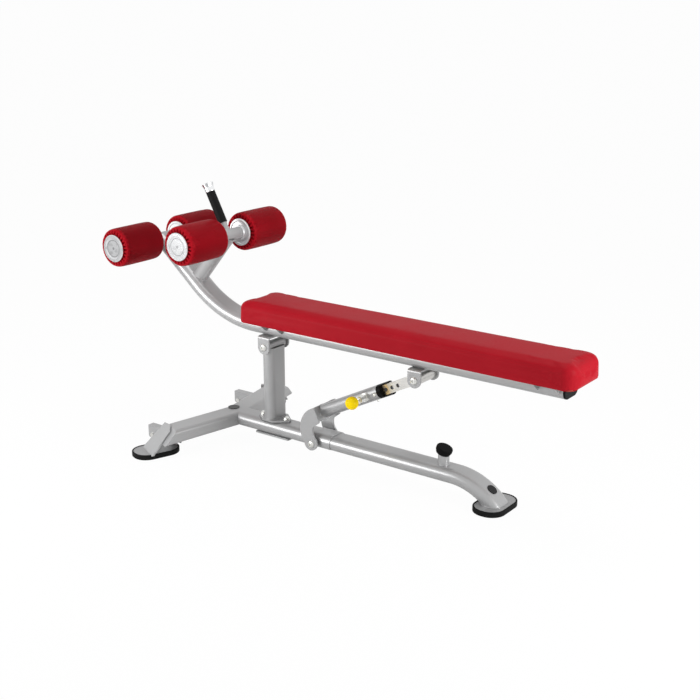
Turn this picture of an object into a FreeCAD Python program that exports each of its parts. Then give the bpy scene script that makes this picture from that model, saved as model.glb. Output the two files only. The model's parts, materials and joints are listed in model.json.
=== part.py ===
"""Adjustable abdominal bench: a three-footed base, a tilting seat frame with a long pad,
four ankle rollers and a hand grip, and a telescopic strut with a sprung lock pin.

Millimetres. +X runs along the bench from the rollers to the free end of the pad, +Y is the
bench's left-hand side seen from the rollers, +Z is up. The origin is on the floor, straight
below the seat pivot. The pad is stored level, its highest setting.
"""
import FreeCAD, Part
import math
import os

from FreeCAD import Vector

# ---------------------------------------------------------------- driving dimensions

# flat-oval tube of the base, the post and the seat frame
TUBE_WIDTH = 90.0
TUBE_HEIGHT = 50.0
TUBE_CORNER = 24.0
TUBE_WALL = 3.0

# heights
BEAM_BOTTOM_Z = 54.0
PIVOT_Z = 386.0
PAD_BOTTOM_Z = 479.5

# base: a V of two legs in front, one beam that bends down to the rear foot
APEX_X = -182.0
LEG_CORNER = 14.0
LEG_SWEEP_DEG = 11.0
BEAM_BEND_START_X = 765.0
BEAM_BEND_RADIUS = 222.0
BEAM_BEND_DEG = 60.0

# feet
FOOT_WIDTH = 102.0
FOOT_LENGTH = 162.0
FOOT_CORNER = 47.0
FOOT_PLATE = 6.0
SHOE_FLOOR = 11.0
SHOE_RIM = 5.0
SHOE_LIP = 1.5
FRONT_FOOT_X = -298.0
FRONT_FOOT_Y = 315.0
FRONT_FOOT_TURN_DEG = 19.4

# sloping plates that close the legs and stand on the front feet
END_PLATE = 6.0
END_PLATE_TOP_X = -272.0
END_PLATE_TOP_Y = 268.0
END_PLATE_TOP_RISE = 1.2
END_PLATE_TURN_DEG = 62.8
END_PLATE_SLOPE_DEG = 42.8
END_PLATE_LENGTH = 130.0
END_PLATE_TOP = (-21.0, 23.0)
END_PLATE_BOTTOM = (-39.0, 68.5)
END_PLATE_SHOULDER = (56.0, 18.0)
END_PLATE_TOP_FALL = 0.35
CLOSING_PLATE = 4.0

# transport wheels
WHEEL_RADIUS = 19.0
WHEEL_WIDTH = 16.0
WHEEL_X = -380.0
WHEEL_Y = 237.0
WHEEL_Z = 30.0
WHEEL_BOSS = 0.5
WHEEL_WEB = (0.55, 0.78)
WHEEL_RIM = 0.82
WHEEL_DISH = 0.8
WHEEL_EDGE = 2.0
BRACKET_PLATE = 4.0
BRACKET_TIP = 19.0
BRACKET_BELOW = 11.0
BRACKET_ABOVE = 36.0
BRACKET_ROOT_X = -258.0
BRACKET_CORNER = 8.0
WHEEL_GAP = 1.0
AXLE_RADIUS = 5.0
AXLE_HEAD_RADIUS = 8.5
AXLE_HEAD = 4.0
AXLE_NUT_RADIUS = 9.0
AXLE_NUT = 5.0

# post
POST_TOP_Z = 380.0
POST_PLATE_WIDTH = 92.0
POST_PLATE = 8.0
POST_PLATE_END = 16.0
POST_PLATE_CORNER = 12.0
POST_BOLT_X = 53.5
POST_WASHER_RADIUS = 12.0
POST_WASHER = 2.0
POST_HEAD_RADIUS = 10.0
POST_HEAD_HEIGHT = 8.0

# pivots
PIVOT_BOLT_RADIUS = 7.0
PIVOT_SLEEVE_RADIUS = 18.0
BUSH_WALL = 3.0
BUSH_FLANGE = 1.7
RUNNING_FIT = 0.05
SIDE_GAP = 0.3
BUSH_LENGTH = 24.0
FLANGE_RADIUS = 14.05
HEAD_RADIUS = 13.0
HEAD_HEIGHT = 7.0
HEAD_PROFILE = ((0.0, 1.0), (0.35, 1.0), (0.8, 0.8), (1.0, 0.55))
KEY_RADIUS = 0.42
KEY_FLOOR = 0.4
BOLT_FIT = 0.1
BOLT_TAIL = 11.0
NUT_RADIUS = 12.5
NUT_HEIGHT = 9.0
WASHER_RADIUS = 13.5
WASHER = 1.6
STRUT_SLEEVE_WALL = 5.0

# clevises under the seat tube
CLEVIS_PLATE = 6.0
CLEVIS_WIDTH = 50.0
CLEVIS_ROOM = 6.0
CLEVIS_ROUND = 3.0
REAR_CLEVIS_X = 636.0
REAR_CLEVIS_Z = 389.0

# seat tube: level, then one bend up to the front roller bar
SEAT_TUBE_END_X = 1158.0
SEAT_BEND_START_X = -60.0
SEAT_RISE_DEG = 40.5
CROSS_PLATE = 3.0
CROSS_PLATE_LENGTH = 76.0
CROSS_PLATE_WIDTH = 170.0
CROSS_PLATE_XS = (40.0, 1108.0)
WEB_PLATE = 4.0
WEB_DEPTH = 30.0
WEB_INSET = 6.0
WEB_SHOULDER = 4.0
WEB_FOOT = 3.0
SCREW_X = 24.0
SCREW_Y = 70.0
SCREW_RADIUS = 3.0
SCREW_HOLE_RADIUS = 3.4
SCREW_REACH = 0.8
SCREW_HEAD = ((0.0, 7.0), (1.5, 6.5), (3.5, 4.0), (4.0, 0.0))
PLUG_STEM = 22.0
PLUG_HEAD = 7.0
PLUG_ROUND = 3.0

# roller bars and rollers
FRONT_BAR_X = -522.0
FRONT_BAR_Z = 711.0
REAR_BAR_X = -204.0
REAR_BAR_Z = 757.0
BAR_RADIUS = 21.2
BAR_WALL = 3.0
SUPPORT_RADIUS = 30.0
ROLLER_RADIUS = 70.0
ROLLER_INNER_Y = 68.0
ROLLER_OUTER_Y = 253.0
HUB_WALL = 6.0
DISC_RADIUS = 49.0
DISC_THICKNESS = 7.0
DISC_EDGE = 1.0
DISC_ROUND = 2.5
DISC_RIM = 7.0
DISC_STEP = 3.0
DISC_COLLAR = (6.0, 4.0)
DISC_COLLAR_LENGTH = 6.0
CAP_BOSS = 24.0
CAP_RIM = 11.0
CAP_STEP = 4.0
CAP_RECESS = 3.0
ROLLER_EDGE = 12.0
ROLLER_EDGE_POINTS = ((0.12, 0.55), (0.45, 0.15))

# hand grip
GRIP_LEAN_DEG = 28.0
STEM_RADIUS = 12.7
GRIP_RADIUS = 16.5
GRIP_START = 47.0
GRIP_END = 166.0
GRIP_EDGE = 1.0
GRIP_CAP_PROFILE = ((0.0, 0.0), (3.0, 1.0), (9.6, 0.6), (17.6, 1.2), (27.2, 4.0),
                    (30.5, 5.0), (32.0, 4.0), (32.0, -1.0), (27.0, -4.0))

# pad
PAD_START_X = -90.0
PAD_END_X = 1221.0
PAD_WIDTH = 216.0
PAD_THICKNESS = 76.0
PAD_CORNER = 36.0
PAD_EDGE = 14.0
BOARD_THICKNESS = 12.0
BOARD_INSET = 12.0

# strut
STRUT_PIVOT_X = 215.0
STRUT_PIVOT_Z = 73.2
STRUT_ANGLE_DEG = 26.75
STRUT_TUBE_RADIUS = 24.15
STRUT_TUBE_WALL = 3.2
STRUT_TUBE_START = 57.0
STRUT_TUBE_END = 327.0
GUIDE_COLLAR = 18.0
GUIDE_LENGTH = 52.0
GUIDE_PLUG = 26.0
TONGUE_HALF = 13.5
MOUTH_CLEARANCE = 0.5
BAR_HEIGHT = 35.0
BAR_THICKNESS = 14.0
BAR_TAIL = 34.0
HOLE_COUNT = 6
LOCK_PIN_AT = 278.0
LOCK_PIN_RADIUS = 6.0
LOCK_HOLE_RADIUS = 6.6
LOCK_TRAVEL = 16.0
KNOB_RADIUS = 22.5
KNOB_FLAT = 0.93
KNOB_GAP = 1.0
HOUSING_LENGTH = 40.0
HOUSING_WALL = 3.0
HOUSING_ROOM = 7.0
HOUSING_COLLAR = 2.0
HOUSING_COLLAR_SHARE = 0.75
SPRING_WIRE = 0.9
SPRING_COILS = 5
SPRING_CORE = 0.6
PIN_COLLAR = 3.0
PIN_POINT = 1.5
PIN_CLEARANCE = 0.4
PULL_ROD_SHARE = 0.65
PIN_TIP_GAP = 0.6
YOKE_PLATE = 6.0
YOKE_ROOM = 9.0
YOKE_REACH = 72.0
YOKE_TOP = 24.0
YOKE_BOTTOM = 33.0
YOKE_BOSS = 23.0
YOKE_CORNER = 8.0
YOKE_BACK = (-17.0, -19.0)
YOKE_LEFT = (-27.0, 12.5)
YOKE_LOW_X = -1.5
YOKE_RIGHT = (27.5, 8.0)
YOKE_WAIST = (25.6, 34.0)
YOKE_CROOK = (38.0, 5.0)
YOKE_WEB_INSET = 4.0
SADDLE = 2.5
SADDLE_LENGTH = 84.0
SADDLE_SHIFT = 26.0
SADDLE_LIFT = 6.0
EYE_CLEARANCE = 6.9
EYE_WALL = 4.0

# bumper
BUMPER_X = 726.0
BUMPER_POST_RADIUS = 19.0
BUMPER_CAP_RADIUS = 28.0
BUMPER_CAP_HEIGHT = 22.0
BUMPER_TILT_DEG = 20.1
BUMPER_GAP = 0.5
BUMPER_SEAT = 0.55
BUMPER_CAP_EDGE = ((0.0, 3.0), (1.5, 0.8), (3.5, 0.0))
BUMPER_CAP_NECK = 0.86

# emblem discs, plain
BADGE_RADIUS = 21.0
BADGE_THICKNESS = 2.0
BADGE_INSET = 19.0
REAR_BADGE_RADIUS = 17.5
REAR_BADGE_SLOPE_DEG = 35.0
REAR_BADGE_SINK = 3.0

# ---------------------------------------------------------------- derived places

X_AXIS = Vector(1, 0, 0)
Y_AXIS = Vector(0, 1, 0)
Z_AXIS = Vector(0, 0, 1)
BIG = 2000.0
# cutting bodies run this far past the faces that they cut
PAST = 1.0
SIDES = {"right": -1, "left": 1}

BEAM_TOP_Z = BEAM_BOTTOM_Z + TUBE_HEIGHT
BEAM_MID_Z = BEAM_BOTTOM_Z + TUBE_HEIGHT / 2
PLATE_TOP_Z = SHOE_FLOOR + FOOT_PLATE
SEAT_TUBE_TOP_Z = PAD_BOTTOM_Z - CROSS_PLATE
SEAT_TUBE_BOTTOM_Z = SEAT_TUBE_TOP_Z - TUBE_HEIGHT
SEAT_TUBE_MID_Z = SEAT_TUBE_TOP_Z - TUBE_HEIGHT / 2
CLEVIS_HALF = TUBE_WIDTH / 2 + CLEVIS_ROOM
BUSH_RADIUS = PIVOT_BOLT_RADIUS + RUNNING_FIT + BUSH_WALL
SLEEVE_HALF = CLEVIS_HALF - BUSH_FLANGE - SIDE_GAP
SADDLE_HALF = TUBE_WIDTH / 2 + SADDLE
YOKE_HALF = SADDLE_HALF + YOKE_ROOM
STRUT_SLEEVE_RADIUS = BUSH_RADIUS + STRUT_SLEEVE_WALL
HOUSING_RADIUS = LOCK_PIN_RADIUS + HOUSING_ROOM
PULL_ROD_RADIUS = LOCK_PIN_RADIUS * PULL_ROD_SHARE
SPRING_LENGTH = 2 * SPRING_COILS * SPRING_WIRE
HOUSING_END_Y = -STRUT_TUBE_RADIUS - HOUSING_LENGTH
KNOB_Y = HOUSING_END_Y - KNOB_RADIUS * KNOB_FLAT - LOCK_TRAVEL - KNOB_GAP
# the rear foot stands under the middle of the beam's lower end
REAR_FOOT_X = BEAM_BEND_START_X + math.sqrt(
    BEAM_BEND_RADIUS ** 2 - (PLATE_TOP_Z - BEAM_MID_Z + BEAM_BEND_RADIUS) ** 2)

# the strut axis passes through the rear pivot at STRUT_ANGLE_DEG; its foot is the point
# of the axis nearest the lower pivot, and distances along the strut start there
STRUT_DIR = Vector(math.cos(math.radians(STRUT_ANGLE_DEG)), 0,
                   math.sin(math.radians(STRUT_ANGLE_DEG)))
STRUT_UP = Vector(-STRUT_DIR.z, 0, STRUT_DIR.x)
LOWER_PIVOT = Vector(STRUT_PIVOT_X, 0, STRUT_PIVOT_Z)
UPPER_PIVOT = Vector(REAR_CLEVIS_X, 0, REAR_CLEVIS_Z)
STRUT_LENGTH = (UPPER_PIVOT - LOWER_PIVOT).dot(STRUT_DIR)
STRUT_FOOT = UPPER_PIVOT - STRUT_DIR * STRUT_LENGTH
STRUT_OFFSET = (STRUT_FOOT - LOWER_PIVOT).dot(STRUT_UP)


def strut_length_at(tilt_deg):
    """Distance from the strut's foot to the upper pivot with the frame tilted."""
    seat_pivot = Vector(0, 0, PIVOT_Z)
    turn = FreeCAD.Rotation(Vector(0, 1, 0), tilt_deg)
    upper = seat_pivot + turn.multVec(UPPER_PIVOT - seat_pivot)
    return math.sqrt((upper - LOWER_PIVOT).Length ** 2 - STRUT_OFFSET ** 2)


# the pin drops into the first hole with the pad level and into the last with the frame
# down on the bumper
HOLE_PITCH = (STRUT_LENGTH - strut_length_at(BUMPER_TILT_DEG)) / (HOLE_COUNT - 1)


# ---------------------------------------------------------------- helpers

def frame(origin, x_dir, y_dir):
    """Placement whose local X and Y lie along two given directions."""
    x = Vector(x_dir).normalize()
    z = x.cross(Vector(y_dir)).normalize()
    y = z.cross(x)
    return FreeCAD.Placement(FreeCAD.Matrix(
        x.x, y.x, z.x, origin.x,
        x.y, y.y, z.y, origin.y,
        x.z, y.z, z.z, origin.z,
        0, 0, 0, 1))


def rounded_rectangle(length, width, radius):
    """Closed wire in local XY, centred on the origin."""
    half_l = length / 2
    half_w = width / 2
    r = radius
    k = r * math.sqrt(0.5)
    edges = []
    for sx, sy in ((1, 1), (-1, 1), (-1, -1), (1, -1)):
        cx = sx * (half_l - r)
        cy = sy * (half_w - r)
        start = Vector(cx + sx * r, cy, 0)
        end = Vector(cx, cy + sy * r, 0)
        if sx != sy:
            start, end = end, start
        middle = Vector(cx + sx * k, cy + sy * k, 0)
        edges.append((start, middle, end))
    shapes = []
    for i, (start, middle, end) in enumerate(edges):
        shapes.append(Part.Arc(start, middle, end).toShape())
        following = edges[(i + 1) % 4][0]
        if end.distanceToPoint(following) > 1e-6:
            shapes.append(Part.makeLine(end, following))
    return Part.Wire(shapes)


def circle_wire(radius, x=0.0, y=0.0):
    return Part.Wire(Part.makeCircle(radius, Vector(x, y, 0)))


def plate(outline, thickness, place, holes=()):
    """Extrude a closed outline, less its holes, along local +Z."""
    face = Part.makeFace([outline, *holes], "Part::FaceMakerBullseye")
    solid = face.extrude(Vector(0, 0, thickness))
    solid.Placement = place
    return solid


def polygon(points):
    closed = [Vector(x, y, 0) for x, y in points]
    return Part.makePolygon(closed + [closed[0]])


def rod(start, end, radius):
    """Solid cylinder between two points."""
    along = end - start
    return Part.makeCylinder(radius, along.Length, start, along)


def cross_rod(x, z, radius, y_from, y_to):
    """Cylinder parallel to Y."""
    return rod(Vector(x, y_from, z), Vector(x, y_to, z), radius)


def turned(profile, origin, axis, side):
    """Revolve (distance, radius) points about an axis; distances grow along it."""
    outline = polygon(profile)
    place = frame(origin, axis, side)
    face = Part.Face(outline)
    solid = face.revolve(Vector(0, 0, 0), X_AXIS, 360)
    solid.Placement = place
    return solid


def tube_section(place, corner=TUBE_CORNER):
    """Ring-shaped face of the frame's tube, its width along local X."""
    outer = rounded_rectangle(TUBE_WIDTH, TUBE_HEIGHT, corner)
    inner = rounded_rectangle(TUBE_WIDTH - 2 * TUBE_WALL, TUBE_HEIGHT - 2 * TUBE_WALL,
                              corner - TUBE_WALL)
    ring = Part.makeFace([outer, inner], "Part::FaceMakerBullseye")
    ring.Placement = place
    full = Part.Face(outer)
    full.Placement = place
    return ring, full


def straight_tube(start, end, width_dir, corner=TUBE_CORNER):
    """Flat-oval tube between two points; returns the hollow tube and its full envelope."""
    along = end - start
    place = frame(start, width_dir, along.cross(width_dir))
    ring, full = tube_section(place, corner)
    return ring.extrude(along), full.extrude(along)


def half_space(point, normal):
    """Large block on the side of a plane that its normal points to."""
    n = Vector(normal).normalize()
    u = n.cross(Z_AXIS if abs(n.z) < 0.9 else X_AXIS)
    block = Part.makeBox(2 * BIG, 2 * BIG, BIG, Vector(-BIG, -BIG, 0))
    block.Placement = frame(point, u, n.cross(u))
    return block


def hexagon(radius):
    """Closed wire in local XY through the corners of a regular hexagon."""
    corners = [math.radians(60 * i) for i in range(6)]
    return polygon([(radius * math.cos(a), radius * math.sin(a)) for a in corners])


def nut(centre, axis, side, radius, height, bore):
    """Hexagon nut whose seat is at centre and which stands along axis."""
    place = frame(centre, side, Vector(axis).cross(side))
    return plate(hexagon(radius), height, place, [circle_wire(bore)])


def button_bolt(x, z, head_y, shank_end_y, radius):
    """Button-head socket bolt along Y with its seat at head_y."""
    out = -1 if shank_end_y > head_y else 1
    shank = cross_rod(x, z, radius, head_y, shank_end_y)
    dome = [(0, 0)]
    dome += [(HEAD_HEIGHT * high, HEAD_RADIUS * wide) for high, wide in HEAD_PROFILE]
    dome += [(HEAD_HEIGHT, 0)]
    head = turned(dome, Vector(x, head_y, z), Vector(0, out, 0), Z_AXIS)
    floor = Vector(x, head_y + out * HEAD_HEIGHT * KEY_FLOOR, z)
    key = plate(hexagon(HEAD_RADIUS * KEY_RADIUS), HEAD_HEIGHT,
                frame(floor, Z_AXIS, Vector(0, out, 0).cross(Z_AXIS)))
    return shank.fuse(head).cut(key).removeSplitter()


# ---------------------------------------------------------------- base

def leg_direction(side):
    sweep = math.radians(LEG_SWEEP_DEG)
    return Vector(-math.sin(sweep), side * math.cos(sweep), 0)


def end_plate_frame(side):
    """Frame on the inner face of a leg's end plate: X across, Y down the slope."""
    turn = math.radians(END_PLATE_TURN_DEG)
    slope = math.radians(END_PLATE_SLOPE_DEG)
    outward = Vector(-math.cos(turn), side * math.sin(turn), 0)
    down = outward * math.sin(slope) - Z_AXIS * math.cos(slope)
    across = Vector(math.sin(turn), side * math.cos(turn), 0)
    origin = Vector(END_PLATE_TOP_X, side * END_PLATE_TOP_Y, BEAM_TOP_Z + END_PLATE_TOP_RISE)
    normal = outward * math.cos(slope) + Z_AXIS * math.sin(slope)
    return origin, across, down, normal


def leg_path(side):
    """Ends of a leg before its two cuts."""
    direction = leg_direction(side)
    apex = Vector(APEX_X, 0, BEAM_MID_Z)
    return apex - direction * TUBE_WIDTH, apex + direction * 2 * END_PLATE_TOP_Y


def leg_solids(side):
    """Hollow leg and its full envelope, cut at the apex and at the end plate."""
    start, end = leg_path(side)
    width_dir = Z_AXIS.cross(leg_direction(side))
    hollow, full = straight_tube(start, end, width_dir, LEG_CORNER)
    origin, across, down, normal = end_plate_frame(side)
    beyond_end = half_space(origin, normal)
    wrong_side = half_space(Vector(0, 0, 0), Vector(0, -side, 0))
    return (hollow.cut(beyond_end).cut(wrong_side), full.cut(beyond_end).cut(wrong_side))


def make_end_plate(side):
    """Sloping plate on a leg's end, with a closing plate inside the tube's mouth."""
    origin, across, down, normal = end_plate_frame(side)
    left, right = END_PLATE_TOP
    outline = polygon([(END_PLATE_BOTTOM[0], END_PLATE_LENGTH), (left, -left * END_PLATE_TOP_FALL),
                       (right, 0), END_PLATE_SHOULDER,
                       (END_PLATE_BOTTOM[1], END_PLATE_LENGTH)])
    place = frame(origin, across, down)
    thickness = END_PLATE if place.Rotation.multVec(Z_AXIS).dot(normal) > 0 else -END_PLATE
    body = plate(outline, thickness, place)
    body = body.cut(half_space(Vector(0, 0, PLATE_TOP_Z), -Z_AXIS))
    start, end = leg_path(side)
    width_dir = Z_AXIS.cross(leg_direction(side))
    hollow, full = straight_tube(start, end, width_dir, LEG_CORNER)
    inside = full.cut(hollow)
    closing = inside.common(half_space(origin - normal * CLOSING_PLATE, normal))
    closing = closing.cut(half_space(origin, normal))
    return largest(body.fuse(closing).cut(make_shoe(side)).removeSplitter())


def make_base_beam(leg_envelopes):
    start = Vector(APEX_X, 0, BEAM_MID_Z)
    bend_start = Vector(BEAM_BEND_START_X, 0, BEAM_MID_Z)
    ring, full = tube_section(frame(start, Y_AXIS, Z_AXIS))
    straight = ring.extrude(bend_start - start)
    ring, full = tube_section(frame(bend_start, Y_AXIS, Z_AXIS))
    centre = bend_start - Z_AXIS * BEAM_BEND_RADIUS
    bend = ring.revolve(centre, Y_AXIS, BEAM_BEND_DEG)
    beam = straight.fuse(bend)
    beam = beam.cut(half_space(Vector(0, 0, PLATE_TOP_Z), -Z_AXIS))
    for envelope in leg_envelopes:
        beam = beam.cut(envelope)
    beam = beam.cut(cross_rod(STRUT_PIVOT_X, STRUT_PIVOT_Z, STRUT_SLEEVE_RADIUS,
                              -TUBE_WIDTH, TUBE_WIDTH))
    return largest(beam)


def largest(shape):
    return max(shape.Solids, key=lambda solid: solid.Volume)


def foot_frame(side, z):
    """Frame on a foot's axis: side 0 is the rear foot, -1 and 1 the front feet."""
    if side == 0:
        return frame(Vector(REAR_FOOT_X, 0, z), X_AXIS, Y_AXIS)
    turn = math.radians(FRONT_FOOT_TURN_DEG)
    inward = Vector(math.sin(turn), -side * math.cos(turn), 0)
    return frame(Vector(FRONT_FOOT_X, side * FRONT_FOOT_Y, z), inward.cross(Z_AXIS), inward)


def foot_outline(margin):
    return rounded_rectangle(FOOT_WIDTH + 2 * margin, FOOT_LENGTH + 2 * margin,
                             FOOT_CORNER + margin)


def make_foot_plate(side):
    return plate(foot_outline(0), FOOT_PLATE, foot_frame(side, SHOE_FLOOR))


def make_shoe(side):
    """Rubber shoe: a thick sole with a rim that holds the steel plate."""
    height = SHOE_FLOOR + FOOT_PLATE + SHOE_LIP
    body = plate(foot_outline(SHOE_RIM), height, foot_frame(side, 0))
    edges = [e for e in body.Edges if e.BoundBox.ZLength < 1e-6]
    body = body.makeFillet(SHOE_RIM / 2, edges)
    return body.cut(plate(foot_outline(0), height, foot_frame(side, SHOE_FLOOR)))


def make_wheel_bracket(side, leg_envelope, end_plate):
    """Channel that carries a transport wheel in front of the leg's end."""
    half = WHEEL_WIDTH / 2 + WHEEL_GAP
    bottom = WHEEL_Z - BRACKET_BELOW
    top = WHEEL_Z + BRACKET_ABOVE
    tip_x = WHEEL_X - BRACKET_TIP
    length = BRACKET_ROOT_X - tip_x
    outer = half + BRACKET_PLATE
    block = Part.makeBox(length, 2 * outer, top - bottom,
                         Vector(tip_x, side * WHEEL_Y - outer, bottom))
    hollow = Part.makeBox(length + 2 * PAST, 2 * half, top - bottom,
                          Vector(tip_x - PAST, side * WHEEL_Y - half, bottom - BRACKET_PLATE))
    bracket = block.cut(hollow)
    corners = [e for e in bracket.Edges
               if e.BoundBox.XMax < tip_x + 1e-6 and e.BoundBox.ZLength < 1e-6
               and e.BoundBox.ZMax < bottom + 1e-6]
    bracket = bracket.makeFillet(BRACKET_CORNER, corners)
    bore = cross_rod(WHEEL_X, WHEEL_Z, AXLE_RADIUS, side * (WHEEL_Y - 2 * outer),
                     side * (WHEEL_Y + 2 * outer))
    return largest(bracket.cut(bore).cut(leg_envelope).cut(end_plate))


def make_wheel(side):
    """Transport wheel with a hub boss, a web and a rubber tread in one moulding."""
    r = WHEEL_RADIUS
    half = WHEEL_WIDTH / 2
    web = half * WHEEL_DISH
    face = [(half, AXLE_RADIUS + RUNNING_FIT), (half, r * WHEEL_BOSS), (web, r * WHEEL_WEB[0]),
            (web, r * WHEEL_WEB[1]), (half, r * WHEEL_RIM), (half, r - WHEEL_EDGE),
            (half - WHEEL_EDGE, r)]
    profile = [(-distance, radius) for distance, radius in face] + list(reversed(face))
    return turned(profile, Vector(WHEEL_X, side * WHEEL_Y, WHEEL_Z), Y_AXIS, Z_AXIS)


def make_axle(side):
    """Axle bolt of a transport wheel with its head outside and its nut inside."""
    reach = WHEEL_WIDTH / 2 + WHEEL_GAP + BRACKET_PLATE
    outer = side * (WHEEL_Y + reach)
    inner = side * (WHEEL_Y - reach)
    shank = cross_rod(WHEEL_X, WHEEL_Z, AXLE_RADIUS, outer, inner - side * AXLE_NUT)
    head = cross_rod(WHEEL_X, WHEEL_Z, AXLE_HEAD_RADIUS, outer, outer + side * AXLE_HEAD)
    fastener = nut(Vector(WHEEL_X, inner, WHEEL_Z), Vector(0, -side, 0), Z_AXIS,
                   AXLE_NUT_RADIUS, AXLE_NUT, AXLE_RADIUS / 2)
    return shank.fuse(head).fuse(fastener.fuse(shank)).removeSplitter()


def make_post():
    start = Vector(0, 0, BEAM_TOP_Z + POST_PLATE)
    ring, full = straight_tube(start, Vector(0, 0, POST_TOP_Z), Y_AXIS)
    return ring.cut(cross_rod(0, PIVOT_Z, PIVOT_SLEEVE_RADIUS, -TUBE_WIDTH, TUBE_WIDTH))


def round_hull(circles):
    """Closed wire round a ring of circles (x, y, radius) that are given anticlockwise."""
    normals = []
    for (x1, y1, r1), (x2, y2, r2) in zip(circles, circles[1:] + circles[:1]):
        reach = math.hypot(x2 - x1, y2 - y1)
        turn = math.atan2(y2 - y1, x2 - x1) - math.acos((r1 - r2) / reach)
        normals.append(Vector(math.cos(turn), math.sin(turn), 0))
    edges = []
    for i, (x, y, r) in enumerate(circles):
        centre = Vector(x, y, 0)
        arrive = normals[i - 1]
        leave = normals[i]
        middle = (arrive + leave).normalize()
        edges.append(Part.Arc(centre + arrive * r, centre + middle * r,
                              centre + leave * r).toShape())
        next_x, next_y, next_r = circles[(i + 1) % len(circles)]
        edges.append(Part.makeLine(centre + leave * r,
                                   Vector(next_x, next_y, 0) + leave * next_r))
    return Part.Wire(edges)


def make_post_plate():
    """Two-bolt flange that is as wide as the beam under the post and rounded at its ends."""
    end = (POST_BOLT_X, 0, POST_PLATE_END)
    shoulder_x = TUBE_HEIGHT / 2 - POST_PLATE_CORNER / 2
    shoulder_y = POST_PLATE_WIDTH / 2 - POST_PLATE_CORNER
    outline = round_hull([end, (shoulder_x, shoulder_y, POST_PLATE_CORNER),
                          (-shoulder_x, shoulder_y, POST_PLATE_CORNER),
                          (-POST_BOLT_X, 0, POST_PLATE_END),
                          (-shoulder_x, -shoulder_y, POST_PLATE_CORNER),
                          (shoulder_x, -shoulder_y, POST_PLATE_CORNER)])
    return plate(outline, POST_PLATE, frame(Vector(0, 0, BEAM_TOP_Z), X_AXIS, Y_AXIS))


def make_post_bolts():
    """Domed hexagon heads with washers on the post's base plate."""
    bolts = []
    seat_z = BEAM_TOP_Z + POST_PLATE
    for x in (-POST_BOLT_X, POST_BOLT_X):
        washer = Part.makeCylinder(POST_WASHER_RADIUS, POST_WASHER, Vector(x, 0, seat_z))
        head = plate(hexagon(POST_HEAD_RADIUS), POST_HEAD_HEIGHT,
                     frame(Vector(x, 0, seat_z), X_AXIS, Y_AXIS))
        dome = Part.makeSphere(POST_HEAD_RADIUS, Vector(x, 0, seat_z + POST_HEAD_HEIGHT / 2))
        bolts.append(washer.fuse(head.common(dome)).removeSplitter())
    return bolts


def make_sleeve(x, z, radius, half, bore):
    outer = cross_rod(x, z, radius, -half, half)
    return outer.cut(cross_rod(x, z, bore, -half - PAST, half + PAST))


def make_bush_pair(x, z, half, flange):
    """Two plastic bushes pressed into a sleeve, flanged where the clevis bears."""
    bushes = []
    inner = PIVOT_BOLT_RADIUS + RUNNING_FIT
    for side in (-1, 1):
        profile = [(-BUSH_LENGTH, inner), (-BUSH_LENGTH, BUSH_RADIUS), (0, BUSH_RADIUS)]
        profile += [(0, FLANGE_RADIUS), (flange, FLANGE_RADIUS), (flange, inner)]
        bushes.append(turned(profile, Vector(x, side * half, z), Vector(0, side, 0), Z_AXIS))
    return bushes


def make_saddle():
    """Doubler wrapped over the beam, fused with the sleeve of the strut pivot."""
    centre = Vector(STRUT_PIVOT_X + SADDLE_SHIFT, 0, BEAM_MID_Z)
    outer = rounded_rectangle(TUBE_WIDTH + 2 * SADDLE, TUBE_HEIGHT + 2 * SADDLE,
                              TUBE_CORNER + SADDLE)
    inner = rounded_rectangle(TUBE_WIDTH, TUBE_HEIGHT, TUBE_CORNER)
    place = frame(centre - X_AXIS * SADDLE_LENGTH / 2, Y_AXIS, Z_AXIS)
    wrap = plate(outer, SADDLE_LENGTH, place, [inner])
    wrap = wrap.cut(half_space(Vector(0, 0, BEAM_BOTTOM_Z + SADDLE_LIFT), -Z_AXIS))
    sleeve = make_sleeve(STRUT_PIVOT_X, STRUT_PIVOT_Z, STRUT_SLEEVE_RADIUS, SADDLE_HALF,
                         BUSH_RADIUS)
    bore = cross_rod(STRUT_PIVOT_X, STRUT_PIVOT_Z, BUSH_RADIUS, -TUBE_WIDTH, TUBE_WIDTH)
    return largest(wrap.fuse(sleeve).cut(bore))


def bumper_top_z():
    """Height of the level seat tube's underside above the bumper, at the lowest setting."""
    tilt = math.radians(BUMPER_TILT_DEG)
    drop = SEAT_TUBE_BOTTOM_Z - PIVOT_Z
    along = (BUMPER_X - drop * math.sin(tilt)) / math.cos(tilt)
    return PIVOT_Z - along * math.sin(tilt) + drop * math.cos(tilt)


def bumper_frame():
    """Centre of the rubber's top face and the direction that it faces."""
    tilt = math.radians(BUMPER_TILT_DEG)
    up = Vector(math.sin(tilt), 0, math.cos(tilt))
    return Vector(BUMPER_X, 0, bumper_top_z()) - up * BUMPER_GAP, up


def bumper_core(radius):
    """Upright cylinder from the beam to the rubber's seat, which is cut square to the rubber."""
    top, up = bumper_frame()
    seat = top - up * BUMPER_CAP_HEIGHT * BUMPER_SEAT
    bottom = Vector(seat.x, 0, BEAM_TOP_Z)
    high = Vector(seat.x, 0, seat.z + BUMPER_POST_RADIUS)
    return rod(bottom, high, radius).cut(half_space(seat, up))


def make_bumper_post():
    return bumper_core(BUMPER_POST_RADIUS).cut(bumper_core(BUMPER_POST_RADIUS - TUBE_WALL))


def make_bumper_cap():
    """Rubber cap with a rounded edge and a tapered skirt round the post's end."""
    top, up = bumper_frame()
    r = BUMPER_CAP_RADIUS
    h = BUMPER_CAP_HEIGHT
    profile = [(0, 0)] + [(down, r - inward) for down, inward in BUMPER_CAP_EDGE]
    profile += [(h * BUMPER_SEAT, r), (h, r * BUMPER_CAP_NECK), (h, 0)]
    return turned(profile, top, up * -1, Y_AXIS).cut(bumper_core(BUMPER_POST_RADIUS))


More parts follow.
